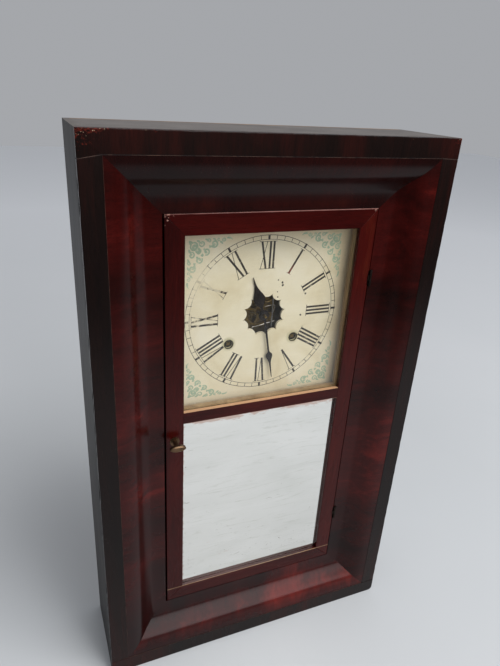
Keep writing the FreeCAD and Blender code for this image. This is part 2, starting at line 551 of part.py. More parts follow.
def escapement():
    x, z = VERGE
    strip = arc_strip(ESCAPE, 19.9, 21.2, -52, 52, -1.2, 0.4)
    pallets = [arc_strip(ESCAPE, 19.15, 20.6, s * 50 - 1.9, s * 50 + 1.9, -1.0, 0.2) for s in (-1, 1)]
    hanger = box(x - 1.6, x + 1.6, -1.2, 0.4, ESCAPE[1] + 20.5, z)
    hub = rod(VERGE, 2.2, -3.2, 1.2)
    loop_z = z - 50.0
    crutch = line_bar(V(x, -2.7, z), V(x, -2.7, loop_z), 0.45)
    loop = Part.makeTorus(2.4, 0.6, V(x, ROD_Y, loop_z), UP)
    verge = joined([strip, hanger, hub, crutch, loop] + pallets)
    save("verge", verge.cut(rod(VERGE, 1.2, -10, 10)))
    post = joined([box(x - 3.5, x + 3.5, -7.6, FP0, z + 5.6, z + 9.2), rod(VERGE, 1.0, -3.5, FP0),
                   box(x - 3.5, x + 3.5, 4.2, FP0, z - 3, z + 7),
                   box(x - 2.2, x + 2.2, -7.6, -3.9, z - 1.2, z + 6)])
    slot = box(x - 0.6, x + 0.6, -9, -3.5, z - 2, z + 4.2)
    save("suspension_post", post.cut(slot))
    spring = box(x - 0.15, x + 0.15, ROD_Y - 1.6, ROD_Y + 1.6 - 0.7, z - 9.0, z + 3.6)
    rod_bar = line_bar(V(x, ROD_Y, z - 6.0), V(x, ROD_Y, BOB_Z - BOB_R - 9), ROD_R)
    nut = Part.makeCylinder(3.0, 3.0, V(x, ROD_Y, BOB_Z - BOB_R - 3.2))
    save("pendulum_rod", joined([spring, rod_bar, nut]))
    ball_r = (BOB_R ** 2 + BOB_HALF_T ** 2) / (2 * BOB_HALF_T)
    lens = Part.makeSphere(ball_r, V(x, ROD_Y + ball_r - BOB_HALF_T, BOB_Z))
    lens = lens.common(Part.makeSphere(ball_r, V(x, ROD_Y - ball_r + BOB_HALF_T, BOB_Z)))
    foot = Part.makeCylinder(2.0, 5.0, V(x, ROD_Y, BOB_Z - BOB_R - 0.2))
    bore = line_bar(V(x, ROD_Y, BOB_Z + BOB_R + 5), V(x, ROD_Y, BOB_Z - BOB_R - 5), ROD_R + 0.1)
    save("pendulum_bob", lens.fuse(foot).removeSplitter().cut(bore))


# ---- strike train ----
def strike_train():
    great = mirrored(great_wheel(TIME_DRUM, mirror_point(PIN_ARBOR), 34.5, 36.0, CLICK_LEAD, -1))
    save("strike_great_wheel", great)
    save("strike_click", mirrored(click(TIME_DRUM, 32.8, 34.2)))
    save("strike_drum", mirrored(drum(TIME_DRUM, (32.5, 34.0), (12.0, 32.0))))
    pin = [wheel(PIN_ARBOR, PIN_M, PIN_T, WARN_PINS, heading(PIN_ARBOR, WARN), 12.0, 13.2, 6.0)]
    pin += [rod(step(PIN_ARBOR, 45 * i, 23.4), 0.9, 9.4, 12.5) for i in range(8)]
    pin += lantern(PIN_ARBOR, GREAT_M, GREAT_PINS, heading(PIN_ARBOR, STRIKE_DRUM), 33.2, 37.3)
    pin += lantern(PIN_ARBOR, PIN_M, COUNT_PINS, heading(PIN_ARBOR, COUNT), 40.2, 43.6, 0.5)
    pin += [rod(PIN_ARBOR, ARBOR_R, FP1 + 0.3, 40.4), rod(PIN_ARBOR, PIVOT_R, FP0, FP1 + 1),
            rod(PIN_ARBOR, 3.0, 12.0, 16.0)]
    save("strike_pin_wheel", joined(pin))
    warn = [wheel(WARN, WARN_M, WARN_T, FLY_PINS, heading(WARN, FLY), 24.0, 25.0, 4.5)]
    warn += lantern(WARN, PIN_M, WARN_PINS, heading(WARN, PIN_ARBOR), 10.8, 14.4)
    warn += arbor(WARN, ARBOR_R, FP1 + 0.3, BP0 - 0.3) + [rod(step(WARN, 200, 16.0), 0.7, 24.5, 28.0)]
    save("warning_wheel", joined(warn))
    vane = box(FLY[0] - 15, FLY[0] + 15, 15.0, 21.0, FLY[1] - 0.4, FLY[1] + 0.4)
    fly = arbor(FLY, 1.2, FP1 + 0.3, BP0 - 0.3) + [turned(vane, FLY, 20), rod(FLY, 2.0, 14.5, 21.5)]
    fly += lantern(FLY, WARN_M, FLY_PINS, heading(FLY, WARN), 22.7, 26.3)
    save("strike_fly", joined(fly))
    count = wheel(COUNT, PIN_M, COUNT_T, COUNT_PINS, heading(COUNT, PIN_ARBOR), 41.2, 42.6, 7.0)
    count = joined([count, rod(COUNT, 3.4, 40.2, 43.6)])
    save("count_wheel", count.cut(rod(COUNT, 1.6 + PLAY, 30, 50)))


def mirror_point(p):
    return -p[0], p[1]


def strike_levers():
    top = COUNT[1] + PIN_M * COUNT_T / 2 + 0.85 * PIN_M
    x, z = LEVER
    arm = plate([(x - 2.5, z + 2.5), (COUNT[0] - 3.0, z + 3.5), (COUNT[0] - 3.0, top + 0.6),
                 (COUNT[0] - 6.5, top + 0.6), (COUNT[0] - 9.0, z - 1.0), (x - 2.5, z - 2.5)], 41.2, 42.8)
    save("count_lever", joined([arm, rod(LEVER, 1.2, FP1 + 0.3, 43.2), rod(LEVER, PIVOT_R, FP0, FP1 + 1)]))
    x, z = HAMMER
    reach = step(PIN_ARBOR, 288.9, 25.0)
    tail = plate([(x - 2.5, z - 3), (x + 2.5, z - 3), (x + 1.5, z + 6), (reach[0] + 2.0, reach[1] - 3),
                  reach, (reach[0] - 2.4, reach[1] - 0.4), (reach[0] - 2.0, reach[1] - 6), (x - 2.5, z + 6)],
                 9.3, 10.7)
    head_z = GONG[1]
    head_x = GONG[0] - GONG_R - GONG_WIRE - 6.6
    wire = line_bar(V(x, HAMMER_WIRE_Y, z), V(head_x, HAMMER_WIRE_Y, head_z + 3), 0.9)
    head = line_bar(V(head_x, HAMMER_WIRE_Y - 3, head_z), V(head_x, GONG_Y + 4, head_z), 6.0)
    head = head.makeFillet(1.5, head.Edges)
    save("hammer", joined([tail, wire, head] + arbor(HAMMER, 1.4, FP1 + 0.3, BP0 - 0.3)))


def gong():
    """Wire gong of half circles whose radius shrinks to the base post."""
    edges = []
    centre_x, z = GONG
    r = GONG_R
    x = centre_x - r
    side = 1
    while r > 14:
        far = x + side * 2 * r
        mid_x = (x + far) / 2
        edges.append(Part.Arc(V(x, GONG_Y, z), V(mid_x, GONG_Y, z - side * r), V(far, GONG_Y, z)).toShape())
        x, r, side = far, r - GONG_PITCH / 2, -side
    coil = pipe(edges, GONG_WIRE)
    save("gong_coil", coil)
    post = box(x - 6, x + 6, GONG_Y - 4, IN_BACK, z - side * 6 - 6, z - side * 6 + 6)
    foot = box(x - 16, x + 16, IN_BACK - 4, IN_BACK, z - side * 6 - 12, z - side * 6 + 12)
    save("gong_base", joined([post, foot]).cut(coil))


# ---- weights, cords, pulleys ----
def weights():
    body = Part.makeCylinder(WEIGHT_R, WEIGHT_Z1 - WEIGHT_Z0, V(WEIGHT_X, CORD_Y, WEIGHT_Z0))
    body = body.makeFillet(3.0, [e for e in body.Edges if e.BoundBox.ZLength < 0.1])
    eye = Part.makeTorus(EYE_R, EYE_WIRE, V(WEIGHT_X, CORD_Y, EYE_Z), BACK)
    weight = body.fuse(eye).removeSplitter()
    save("time_weight", weight)
    save("strike_weight", mirrored(weight))
    top = PULLEY[1]
    drop = line_bar(V(WEIGHT_X, CORD_Y, top), V(WEIGHT_X, CORD_Y, EYE_Z + EYE_R + EYE_WIRE), CORD_R)
    save("time_cord_drop", drop)
    save("strike_cord_drop", mirrored(drop))
    run = cord_run()
    save("cord_runs", Part.makeCompound([run, mirrored(run)]))


def cord_run():
    """Cord from the drum's outer side, up and over the pulley, with the turn left on the drum."""
    apart = math.dist(TIME_DRUM, PULLEY)
    lean = heading(TIME_DRUM, PULLEY) + math.degrees(math.asin((DRUM_CORD + PULLEY_CORD) / apart))
    start = step(TIME_DRUM, lean - 90, DRUM_CORD)
    end = step(PULLEY, lean + 90, PULLEY_CORD)
    over = step(PULLEY, (lean + 90) / 2, PULLEY_CORD)
    last = (PULLEY[0] + PULLEY_CORD, PULLEY[1])
    a, b, m, c = (V(p[0], CORD_Y, p[1]) for p in (start, end, over, last))
    run = pipe([Part.makeLine(a, b), Part.Arc(b, m, c).toShape()], CORD_R)
    turn = Part.makeTorus(DRUM_CORD, CORD_R, V(TIME_DRUM[0], CORD_Y, TIME_DRUM[1]), BACK)
    return run.fuse(turn)


def pulleys():
    y = CORD_Y
    blank = rod(PULLEY, 21.0, y - 3, y + 3)
    groove = Part.makeTorus(PULLEY_CORD, 1.2, V(PULLEY[0], y, PULLEY[1]), BACK)
    open_rim = tube(PULLEY, 22.0, PULLEY_CORD, y - 1.2, y + 1.2)
    sheave = blank.cut([groove, open_rim, rod(PULLEY, 2.2, y - 5, y + 5)])
    sheave = sheave.cut([rod(step(PULLEY, 60 * i, 10.0), 3.0, y - 5, y + 5) for i in range(6)])
    save("time_pulley", sheave)
    save("strike_pulley", mirrored(sheave))
    x, z = PULLEY
    top = CASE_H - BOARD
    cheeks = [box(x - 7, x + 7, a, a + 1.5, z - 6, top) for a in (y - 5.0, y + 3.5)]
    bridge = box(x - 7, x + 7, y - 9, y + 9, top - 2, top)
    pin = rod(PULLEY, 2.0, y - 6.5, y + 6.5)
    fork = joined(cheeks + [bridge, pin])
    save("pulley_forks", Part.makeCompound([fork, mirrored(fork)]))


os.makedirs("parts", exist_ok=True)
case_parts()
front_parts()
door_parts()
hinge_parts()
latch_parts()
dial_panel()
motion_work()
movement_frame()
going_train()
escapement()
strike_train()
strike_levers()
gong()
weights()
pulleys()
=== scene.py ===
"""American ogee weight clock: finishes, painted dial, lights and camera over the CAD frame."""
import math
import random

import bmesh
import bpy
from mathutils import Matrix, Vector


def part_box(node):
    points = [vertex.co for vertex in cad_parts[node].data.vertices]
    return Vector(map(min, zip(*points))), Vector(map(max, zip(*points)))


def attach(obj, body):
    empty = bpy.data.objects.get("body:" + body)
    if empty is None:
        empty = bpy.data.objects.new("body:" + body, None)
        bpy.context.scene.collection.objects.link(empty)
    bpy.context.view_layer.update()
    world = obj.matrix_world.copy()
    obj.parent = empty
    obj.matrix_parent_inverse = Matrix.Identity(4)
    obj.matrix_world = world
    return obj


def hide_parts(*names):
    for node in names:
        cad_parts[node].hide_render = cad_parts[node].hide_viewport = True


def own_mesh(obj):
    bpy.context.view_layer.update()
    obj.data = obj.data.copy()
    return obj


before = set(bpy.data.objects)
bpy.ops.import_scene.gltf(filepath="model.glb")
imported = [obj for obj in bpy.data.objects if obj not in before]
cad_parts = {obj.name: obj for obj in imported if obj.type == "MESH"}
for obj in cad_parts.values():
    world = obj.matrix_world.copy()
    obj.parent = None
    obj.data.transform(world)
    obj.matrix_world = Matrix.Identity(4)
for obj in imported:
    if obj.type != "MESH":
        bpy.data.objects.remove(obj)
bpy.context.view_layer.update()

# Sizes in millimetres, the same as in the CAD model.
MM = 0.001
CASE_H, HALF_W, FRONT = 660.4, 196.85, -54.15
BAND_W, BAND_T, WORN_R = 20.8, 6.0, 6.0
OGEE_CURVE = [(20.8, 0.3), (30.5, 1.9), (39.4, 6.1), (48.3, 13.7), (56.6, 19.3), (61.0, 20.8)]
OGEE_END, OGEE_EDGE, OGEE_BACK, BOARD = 75.8, 22.4, 38.0, 12.7
DOOR = (-118.9, 120.45, 76.2, 584.2)
DOOR_OPEN = (-98.4, 100.4, 95.0, 562.4)
DOOR_FRONT, DOOR_REAR = -31.75, -16.15
GLASS_FRONT, REBATE = -26.75, 5.0
DIAL_Z, DIAL_FRONT = 462.0, -11.3
HINGE_ZS, POCKET_HALF, POCKET_X, POCKET_Y = (156.0, 504.0), 10.0, 124.5, -30.85
WIND_X, WIND_Z = 40.6, 429.8
CORD_X, CORD_Y, WEIGHT_FALL = 148.0, 22.5, 417.83

# The camera of the view to match, in metres.
EYE = (-0.2437, -0.5339, 0.6964)
EYE_RIGHT = (0.9245, -0.3769, 0.0561)
EYE_DOWN = (-0.1071, -0.3982, -0.9110)
EYE_AHEAD = (0.3657, 0.8363, -0.4086)
LENS, SENSOR = 29.55, 36.0


# ---- node graphs ----
class Graph:
    """A material's node tree, with short calls for the nodes used here."""

    def __init__(self, name, rough=0.5, metal=0.0, **sockets):
        self.mat = bpy.data.materials.new(name)
        self.mat.use_nodes = True
        self.tree = self.mat.node_tree
        self.shader = self.tree.nodes["Principled BSDF"]
        self.shader.inputs["Roughness"].default_value = rough
        self.shader.inputs["Metallic"].default_value = metal
        for key, value in sockets.items():
            self.shader.inputs[key.replace("_", " ")].default_value = value
        self.where = self.tree.nodes.new("ShaderNodeTexCoord").outputs["Object"]

    def feed(self, socket, value):
        if isinstance(value, bpy.types.NodeSocket):
            self.tree.links.new(value, socket)
        elif isinstance(value, tuple) and len(value) == 3 and socket.type == "RGBA":
            socket.default_value = (*value, 1.0)
        else:
            socket.default_value = value

    def place(self, scale, offset=(0.0, 0.0, 0.0)):
        node = self.tree.nodes.new("ShaderNodeMapping")
        node.inputs["Scale"].default_value = scale
        node.inputs["Location"].default_value = offset
        self.tree.links.new(self.where, node.inputs["Vector"])
        return node.outputs["Vector"]

    def noise(self, scale, detail=4.0, rough=0.55, warp=0.0, offset=(0.0, 0.0, 0.0)):
        node = self.tree.nodes.new("ShaderNodeTexNoise")
        self.feed(node.inputs["Vector"], self.place(scale, offset))
        node.inputs["Scale"].default_value = 1.0
        node.inputs["Detail"].default_value = detail
        node.inputs["Roughness"].default_value = rough
        node.inputs["Distortion"].default_value = warp
        return node.outputs["Fac"]

    def math(self, kind, a, b=0.0, clamp=False):
        node = self.tree.nodes.new("ShaderNodeMath")
        node.operation = kind
        node.use_clamp = clamp
        self.feed(node.inputs[0], a)
        self.feed(node.inputs[1], b)
        return node.outputs[0]

    def ramp(self, fac, stops):
        node = self.tree.nodes.new("ShaderNodeValToRGB")
        while len(node.color_ramp.elements) < len(stops):
            node.color_ramp.elements.new(0.5)
        for element, (at, colour) in zip(node.color_ramp.elements, stops):
            element.position = at
            element.color = (*colour, 1.0) if isinstance(colour, tuple) else (colour, colour, colour, 1.0)
        self.feed(node.inputs["Fac"], fac)
        return node.outputs["Color"]

    def mix(self, fac, a, b, kind="MIX"):
        node = self.tree.nodes.new("ShaderNodeMix")
        node.data_type = "RGBA"
        node.blend_type = kind
        self.feed(node.inputs[0], fac)
        self.feed(node.inputs[6], a)
        self.feed(node.inputs[7], b)
        return node.outputs[2]

    def axis(self, index):
        node = self.tree.nodes.new("ShaderNodeSeparateXYZ")
        self.tree.links.new(self.where, node.inputs[0])
        return node.outputs[index]

    def near(self, index, centre, reach):
        """1 at a coordinate in metres, falling to 0 a reach away."""
        away = self.math("ABSOLUTE", self.math("SUBTRACT", self.axis(index), centre))
        return self.math("SUBTRACT", 1.0, self.math("DIVIDE", away, reach), clamp=True)

    def square(self, index, low, high):
        """1 between two coordinates in metres, 0 outside them."""
        return self.math("MULTIPLY", self.math("GREATER_THAN", self.axis(index), low),
                         self.math("LESS_THAN", self.axis(index), high))

    def spot(self, x, z, full, none):
        """1 within a distance in metres of an XZ point, falling to 0 at a larger one."""
        dx, dz = self.math("SUBTRACT", self.axis(0), x), self.math("SUBTRACT", self.axis(2), z)
        squares = self.math("ADD", self.math("MULTIPLY", dx, dx), self.math("MULTIPLY", dz, dz))
        away = self.math("SQRT", squares)
        return self.math("DIVIDE", self.math("SUBTRACT", none, away), none - full, clamp=True)

    def colour(self, value):
        self.feed(self.shader.inputs["Base Color"], value)

    def rough(self, value):
        self.feed(self.shader.inputs["Roughness"], value)

    def bump(self, height, strength=0.2, distance=0.0005):
        node = self.tree.nodes.new("ShaderNodeBump")
        node.inputs["Strength"].default_value = strength
        node.inputs["Distance"].default_value = distance
        self.feed(node.inputs["Height"], height)
        self.tree.links.new(node.outputs["Normal"], self.shader.inputs["Normal"])


def along(grain, low, high):
    """Mapping scale that is low along the grain and high across it."""
    return tuple(low if axis == grain else high for axis in "xyz")


# ---- materials ----
def mahogany(name, grain, tones, zones=(), rough=0.24, coat=0.3, shift=0.0, wear=None, dull=None):
    """Old varnished mahogany: large soft zones, faint streaks along the grain, fine pores.

    Each zone is (axis, centre, reach, how much redder), in metres; on the ogee's bottom length the
    zones are painted highlight. The varnish has lost part of its gloss in the zone dull, given in the
    same way.
    """
    g = Graph(name, rough, Coat_Weight=coat, Coat_Roughness=0.18, Specular_IOR_Level=0.05)
    at = (shift, shift * 1.7, shift * 0.6)
    broad = g.noise(along(grain, 4.0, 12.0), 2.0, 0.5, 0.7, at)
    flame = g.noise(along(grain, 9.0, 55.0), 4.0, 0.55, 1.0, at)
    streak = g.noise(along(grain, 14.0, 260.0), 3.0, 0.6, 0.4, at)
    pores = g.noise(along(grain, 90.0, 1700.0), 2.0, 0.6, 0.1, at)
    fac = g.math("ADD", g.math("MULTIPLY", broad, 0.62), g.math("MULTIPLY", flame, 0.25))
    fac = g.math("ADD", fac, g.math("MULTIPLY", streak, 0.13))
    for index, centre, reach, amount in zones:
        fac = g.math("ADD", fac, g.math("MULTIPLY", g.near(index, centre, reach), amount))
    tone = g.ramp(fac, [(0.38, tones[0]), (0.50, tones[1]), (0.62, tones[2]), (0.80, tones[3])])
    tone = g.mix(0.6, tone, g.ramp(pores, [(0.36, 0.5), (0.55, 1.0)]), "MULTIPLY")
    if wear:
        tone = wear(g, tone)
    if dull:
        index, centre, reach, amount = dull
        lost = g.math("MULTIPLY", g.near(index, centre, reach), amount)
        g.feed(g.shader.inputs["Coat Weight"], g.math("MULTIPLY", g.math("SUBTRACT", 1.0, lost), coat))
    g.colour(tone)
    g.rough(g.math("ADD", g.math("MULTIPLY", flame, 0.14), rough - 0.07))
    g.bump(g.math("ADD", g.math("MULTIPLY", pores, 0.35), flame), 0.10, 0.0004)
    return g.mat


def edge_chips(g, tone):
    """Red and pale chips: many at the top left corner, fewer along the top, a few at the right."""
    top = g.math("MULTIPLY", g.near(2, CASE_H * MM, 0.006), 0.75)
    left = g.math("SUBTRACT", 0.50, g.math("MULTIPLY", g.axis(0), 2.6), clamp=True)
    corner = g.spot(-HALF_W * MM, CASE_H * MM, 0.003, 0.030)
    right = g.math("MULTIPLY", g.spot(HALF_W * MM, CASE_H * MM, 0.002, 0.020), 0.9)
    where = g.math("ADD", g.math("MULTIPLY", top, left), g.math("ADD", corner, right), clamp=True)
    coarse = g.noise((360.0, 360.0, 500.0), 6.0, 0.8)
    red = g.math("GREATER_THAN", g.math("ADD", coarse, g.math("MULTIPLY", where, 0.20)), 0.71)
    tone = g.mix(g.math("MULTIPLY", red, 0.75), tone, (0.13, 0.017, 0.010))
    fine = g.noise((560.0, 560.0, 560.0), 2.0, 0.7)
    pale = g.math("GREATER_THAN", g.math("ADD", fine, g.math("MULTIPLY", where, 0.15)), 0.83)
    return g.mix(pale, tone, (0.46, 0.33, 0.22))


def door_wear_and_highlight(g, tone):
    """Polish rubbed to pale pink along the top arris, with a painted highlight there, and chips at the
    door's upper corners.
    """
    rub = g.noise((35.0, 35.0, 35.0), 3.0, 0.6)
    # Painted highlight with rubbed polish along the top arris, stronger towards the right.
    line = g.math("MULTIPLY", g.square(2, 0.5833, 0.60), g.square(1, -0.033, -0.0305))
    amount = g.math("ADD", g.math("MULTIPLY", g.axis(0), 1.6), g.math("MULTIPLY", rub, 1.1), clamp=True)
    tone = g.mix(g.math("MULTIPLY", line, amount), tone, (0.42, 0.20, 0.17))
    fine = g.noise((330.0, 330.0, 330.0), 3.0, 0.7)
    for x in (-0.1189, 0.1204):
        near = g.math("MULTIPLY", g.spot(x, 0.5842, 0.002, 0.014), 0.26)
        tone = g.mix(g.math("GREATER_THAN", g.math("ADD", fine, near), 0.76), tone, (0.36, 0.19, 0.15))
    # Tan line on the front arris at the mirror's lower edge: worn edge and painted highlight.
    inner = g.math("MULTIPLY", g.near(2, 0.0950, 0.0008), g.square(1, -0.033, -0.0312))
    return g.mix(g.math("MULTIPLY", inner, rub), tone, (0.55, 0.36, 0.20))


def rail_highlight_and_edge(g, tone):
    """Painted highlight: peach colour on the upper face of the middle rail, and a lighter line near its
    lower edge.
    """
    # Painted highlight: the upper face stands lit by light from above.
    lit_top_face = g.math("GREATER_THAN", g.axis(2), 0.36115)
    edge = g.math("MULTIPLY", g.near(2, 0.3472, 0.0008), g.noise((60.0, 60.0, 60.0), 4.0, 0.7))
    tone = g.mix(g.math("MULTIPLY", edge, 0.8), tone, (0.40, 0.22, 0.14))
    return g.mix(g.math("MULTIPLY", lit_top_face, 0.8), tone, (0.62, 0.36, 0.20))


def top_dust_and_sheen(g, tone):
    """Grey clouds on the top face of the case: dust, with a painted sheen."""
    # Grey clouds on the upward top face: dust and painted sheen.
    level = g.math("GREATER_THAN", g.axis(2), CASE_H * MM - 0.0004)
    cloud = g.noise((22.0, 22.0, 22.0), 5.0, 0.7)
    return g.mix(g.math("MULTIPLY", level, g.math("ADD", g.math("MULTIPLY", cloud, 0.9), 0.1)),
                 tone, (0.19, 0.165, 0.15))


def plain_wood(name, grain, light, dark, rough=0.6):
    """Unvarnished pine or poplar with soft rings and a few dark streaks."""
    g = Graph(name, rough)
    rings = g.noise(along(grain, 3.0, 38.0), 6.0, 0.6, 0.8)
    fine = g.noise(along(grain, 30.0, 700.0), 3.0, 0.6)
    stain = g.noise((6.0, 6.0, 6.0), 4.0, 0.6)
    tone = g.ramp(rings, [(0.35, dark), (0.62, light)])
    tone = g.mix(0.6, tone, g.ramp(fine, [(0.35, 0.6), (0.6, 1.0)]), "MULTIPLY")
    tone = g.mix(0.7, tone, g.ramp(stain, [(0.3, 0.45), (0.6, 1.0)]), "MULTIPLY")
    g.colour(tone)
    g.rough(g.math("ADD", g.math("MULTIPLY", fine, 0.2), rough - 0.1))
    g.bump(g.math("ADD", fine, rings), 0.25, 0.0004)
    return g.mat


def metal(name, clean, dull, rough=0.35, grime=0.5, scale=60.0, metallic=1.0):
    """Aged metal: tarnish in patches, fine scratches, uneven polish."""
    g = Graph(name, rough, metallic)
    patches = g.noise((scale, scale, scale), 5.0, 0.65, 0.5)
    scratch = g.noise((scale * 3, scale * 14, scale * 14), 3.0, 0.7, 0.3)
    tone = g.ramp(patches, [(0.5 - 0.3 * grime, dull), (0.62, clean)])
    tone = g.mix(0.35, tone, g.ramp(scratch, [(0.35, 0.5), (0.6, 1.0)]), "MULTIPLY")
    g.colour(tone)
    g.rough(g.math("ADD", g.math("MULTIPLY", patches, 0.25), rough - 0.1))
    g.bump(g.math("ADD", patches, scratch), 0.1, 0.0003)
    return g.mat


def dial_paint():
    """Cream paint with painted shade at the edges, grime, grease round the winding holes and faint crazing.
    """
    g = Graph("dial_cream_paint", 0.5, Coat_Weight=0.1, Coat_Roughness=0.35)
    cloud = g.noise((17.0, 17.0, 17.0), 6.0, 0.62, 0.5)
    grain = g.noise((60.0, 60.0, 900.0), 3.0, 0.6)
    tone = g.ramp(cloud, [(0.30, (0.69, 0.59, 0.37)), (0.48, (0.78, 0.695, 0.48)),
                          (0.68, (0.84, 0.77, 0.58))])
    # Painted shade: browner towards the right, bottom and top edges, where the door frame shades the
    # recessed dial.
    edge = g.math("MAXIMUM", g.near(0, 0.107, 0.022), g.near(2, 0.352, 0.017))
    edge = g.math("MAXIMUM", edge, g.math("MULTIPLY", g.near(2, 0.566, 0.022), 0.7))
    tone = g.mix(g.math("MULTIPLY", edge, 0.65), tone, (0.56, 0.40, 0.20))
    for x in (-WIND_X, WIND_X):
        grease = g.math("MULTIPLY", g.spot(x * MM - 0.0006, WIND_Z * MM + 0.0005, 0.0055, 0.0095), 0.75)
        tone = g.mix(g.math("MULTIPLY", grease, g.math("ADD", cloud, 0.3)), tone, (0.33, 0.30, 0.10))
    speck = g.math("GREATER_THAN", g.noise((520.0, 520.0, 520.0), 2.0, 0.6), 0.735)
    tone = g.mix(g.math("MULTIPLY", speck, 0.5), tone, (0.35, 0.28, 0.17))
    tone = g.mix(0.10, tone, g.ramp(grain, [(0.4, 0.75), (0.6, 1.0)]), "MULTIPLY")
    g.colour(tone)
    g.bump(g.math("ADD", cloud, grain), 0.05, 0.0003)
    return g.mat


def dial_ink(name, ink, worn, patchy=0.0):
    """Thin paint on the dial that has rubbed away towards the nine and ten."""
    g = Graph(name, 0.55)
    rub = g.noise((170.0, 170.0, 170.0), 5.0, 0.75)
    ten = g.spot(-0.071, 0.503, 0.010, 0.034)
    nine = g.math("MULTIPLY", g.spot(-0.080, 0.470, 0.006, 0.034), 0.55)
    ring = g.math("MULTIPLY", g.spot(0.066, 0.398, 0.010, 0.030), 0.28)
    places = g.math("MAXIMUM", g.math("MAXIMUM", ten, nine), ring)
    gone = g.math("ADD", rub, g.math("MULTIPLY", places, 0.26))
    tone = g.ramp(gone, [(0.58 - patchy, ink), (0.70, worn)])
    red = g.math("MULTIPLY", g.spot(0.0285, 0.5115, 0.003, 0.011), 0.8)
    g.colour(g.mix(red, tone, (0.20, 0.045, 0.015)) if not patchy else tone)
    g.rough(g.math("ADD", g.math("MULTIPLY", rub, 0.2), 0.45))
    return g.mat


def clear_glass():
    g = Graph("old_window_glass", 0.03, 1.0, Alpha=0.035)
    wave = g.noise((14.0, 14.0, 9.0), 2.0, 0.5)
    g.colour(g.ramp(wave, [(0.3, (0.86, 0.9, 0.9)), (0.7, (0.95, 0.97, 0.96))]))
    g.bump(wave, 0.05, 0.002)
    return g.mat


def old_mirror():
    """Silvering with dark flecks, streaks, and loss along the top and left edges."""
    g = Graph("old_mirror_silver", 0.05, 1.0)
    haze = g.noise((8.0, 8.0, 30.0), 5.0, 0.6, 0.6)
    tone = g.ramp(haze, [(0.3, (0.80, 0.80, 0.76)), (0.65, (0.89, 0.885, 0.85))])
    scuff = g.noise((18.0, 18.0, 170.0), 5.0, 0.78, 1.2)
    tone = g.mix(g.ramp(scuff, [(0.54, 0.0), (0.68, 0.42)]), tone, (0.54, 0.55, 0.48))
    fleck = g.noise((75.0, 75.0, 240.0), 5.0, 0.75, 1.4)
    low = g.math("MULTIPLY", g.near(2, 0.11, 0.14), 0.05)
    tone = g.mix(g.math("GREATER_THAN", g.math("ADD", fleck, low), 0.695), tone, (0.20, 0.18, 0.13))
    edge = g.math("MAXIMUM", g.near(2, 0.3472, 0.014), g.math("MULTIPLY", g.near(0, -0.0984, 0.004), 0.9))
    lost = g.math("ADD", g.noise((40.0, 40.0, 150.0), 5.0, 0.75), g.math("MULTIPLY", edge, 0.34))
    g.colour(g.mix(g.ramp(lost, [(0.66, 0.0), (0.74, 0.85)]), tone, (0.62, 0.44, 0.37)))
    g.rough(g.math("ADD", g.math("MULTIPLY", haze, 0.1), 0.03))
    g.bump(haze, 0.02, 0.002)
    return g.mat


def cord_fibre():
    g = Graph("waxed_cord", 0.8)
    twist = g.noise((700.0, 700.0, 260.0), 3.0, 0.6, 0.8)
    g.colour(g.ramp(twist, [(0.3, (0.20, 0.15, 0.09)), (0.65, (0.46, 0.38, 0.26))]))
    g.bump(twist, 0.5, 0.0005)
    return g.mat


def floor_paint():
    """Pale matt paint, paler well away from the clock, with painted shade turning it near black far in
    front of it.
    """
    g = Graph("pale_floor", 0.6)
    tone = g.noise((1.2, 1.2, 1.2), 4.0, 0.5)
    pale = g.ramp(tone, [(0.3, (0.585, 0.605, 0.62)), (0.7, (0.625, 0.64, 0.655))])
    x, y = g.axis(0), g.axis(1)
    away = g.math("SQRT", g.math("ADD", g.math("MULTIPLY", x, x), g.math("MULTIPLY", y, y)))
    far = g.math("DIVIDE", g.math("SUBTRACT", away, 0.6), 2.2, clamp=True)
    pale = g.mix(far, pale, (0.93, 0.95, 0.98))
    # Painted shade far in front of the clock, where the floor turns almost black.
    ahead = g.math("DIVIDE", g.math("SUBTRACT", -0.62, y), 0.6, clamp=True)
    g.colour(g.mix(ahead, pale, (0.07, 0.07, 0.072)))
    return g.mat


def seam_filler():
    g = Graph("seam_filler", 0.7)
    gaps = g.noise((90.0, 90.0, 90.0), 4.0, 0.7)
    g.colour(g.ramp(gaps, [(0.40, (0.014, 0.004, 0.003)), (0.65, (0.10, 0.048, 0.030))]))
    return g.mat


# Veneer tones from the darkest to the brightest, in linear colour: the ogee's sides and bottom, its top
# (a darker copy of the same veneer, painted shade), the door, the flat bands, and the stained boards of
# the sides and top.
FIERY = [(0.008, 0.0015, 0.0012), (0.021, 0.0021, 0.0016), (0.044, 0.0034, 0.0026), (0.15, 0.012, 0.008)]
SHADED_TOP_VENEER = [(0.008, 0.0016, 0.0013), (0.014, 0.0020, 0.0016), (0.024, 0.0028, 0.0020), (0.06, 0.008, 0.004)]
DOOR_RED = [(0.024, 0.0018, 0.0014), (0.040, 0.0024, 0.0018), (0.056, 0.0036, 0.0022), (0.10, 0.014, 0.005)]
BLACKENED = [(0.0055, 0.0028, 0.0024), (0.0085, 0.0034, 0.0026), (0.020, 0.0040, 0.0028),
             (0.05, 0.007, 0.004)]
SIDE = [(0.010, 0.0075, 0.0065), (0.015, 0.011, 0.0095), (0.024, 0.016, 0.013), (0.035, 0.021, 0.016)]


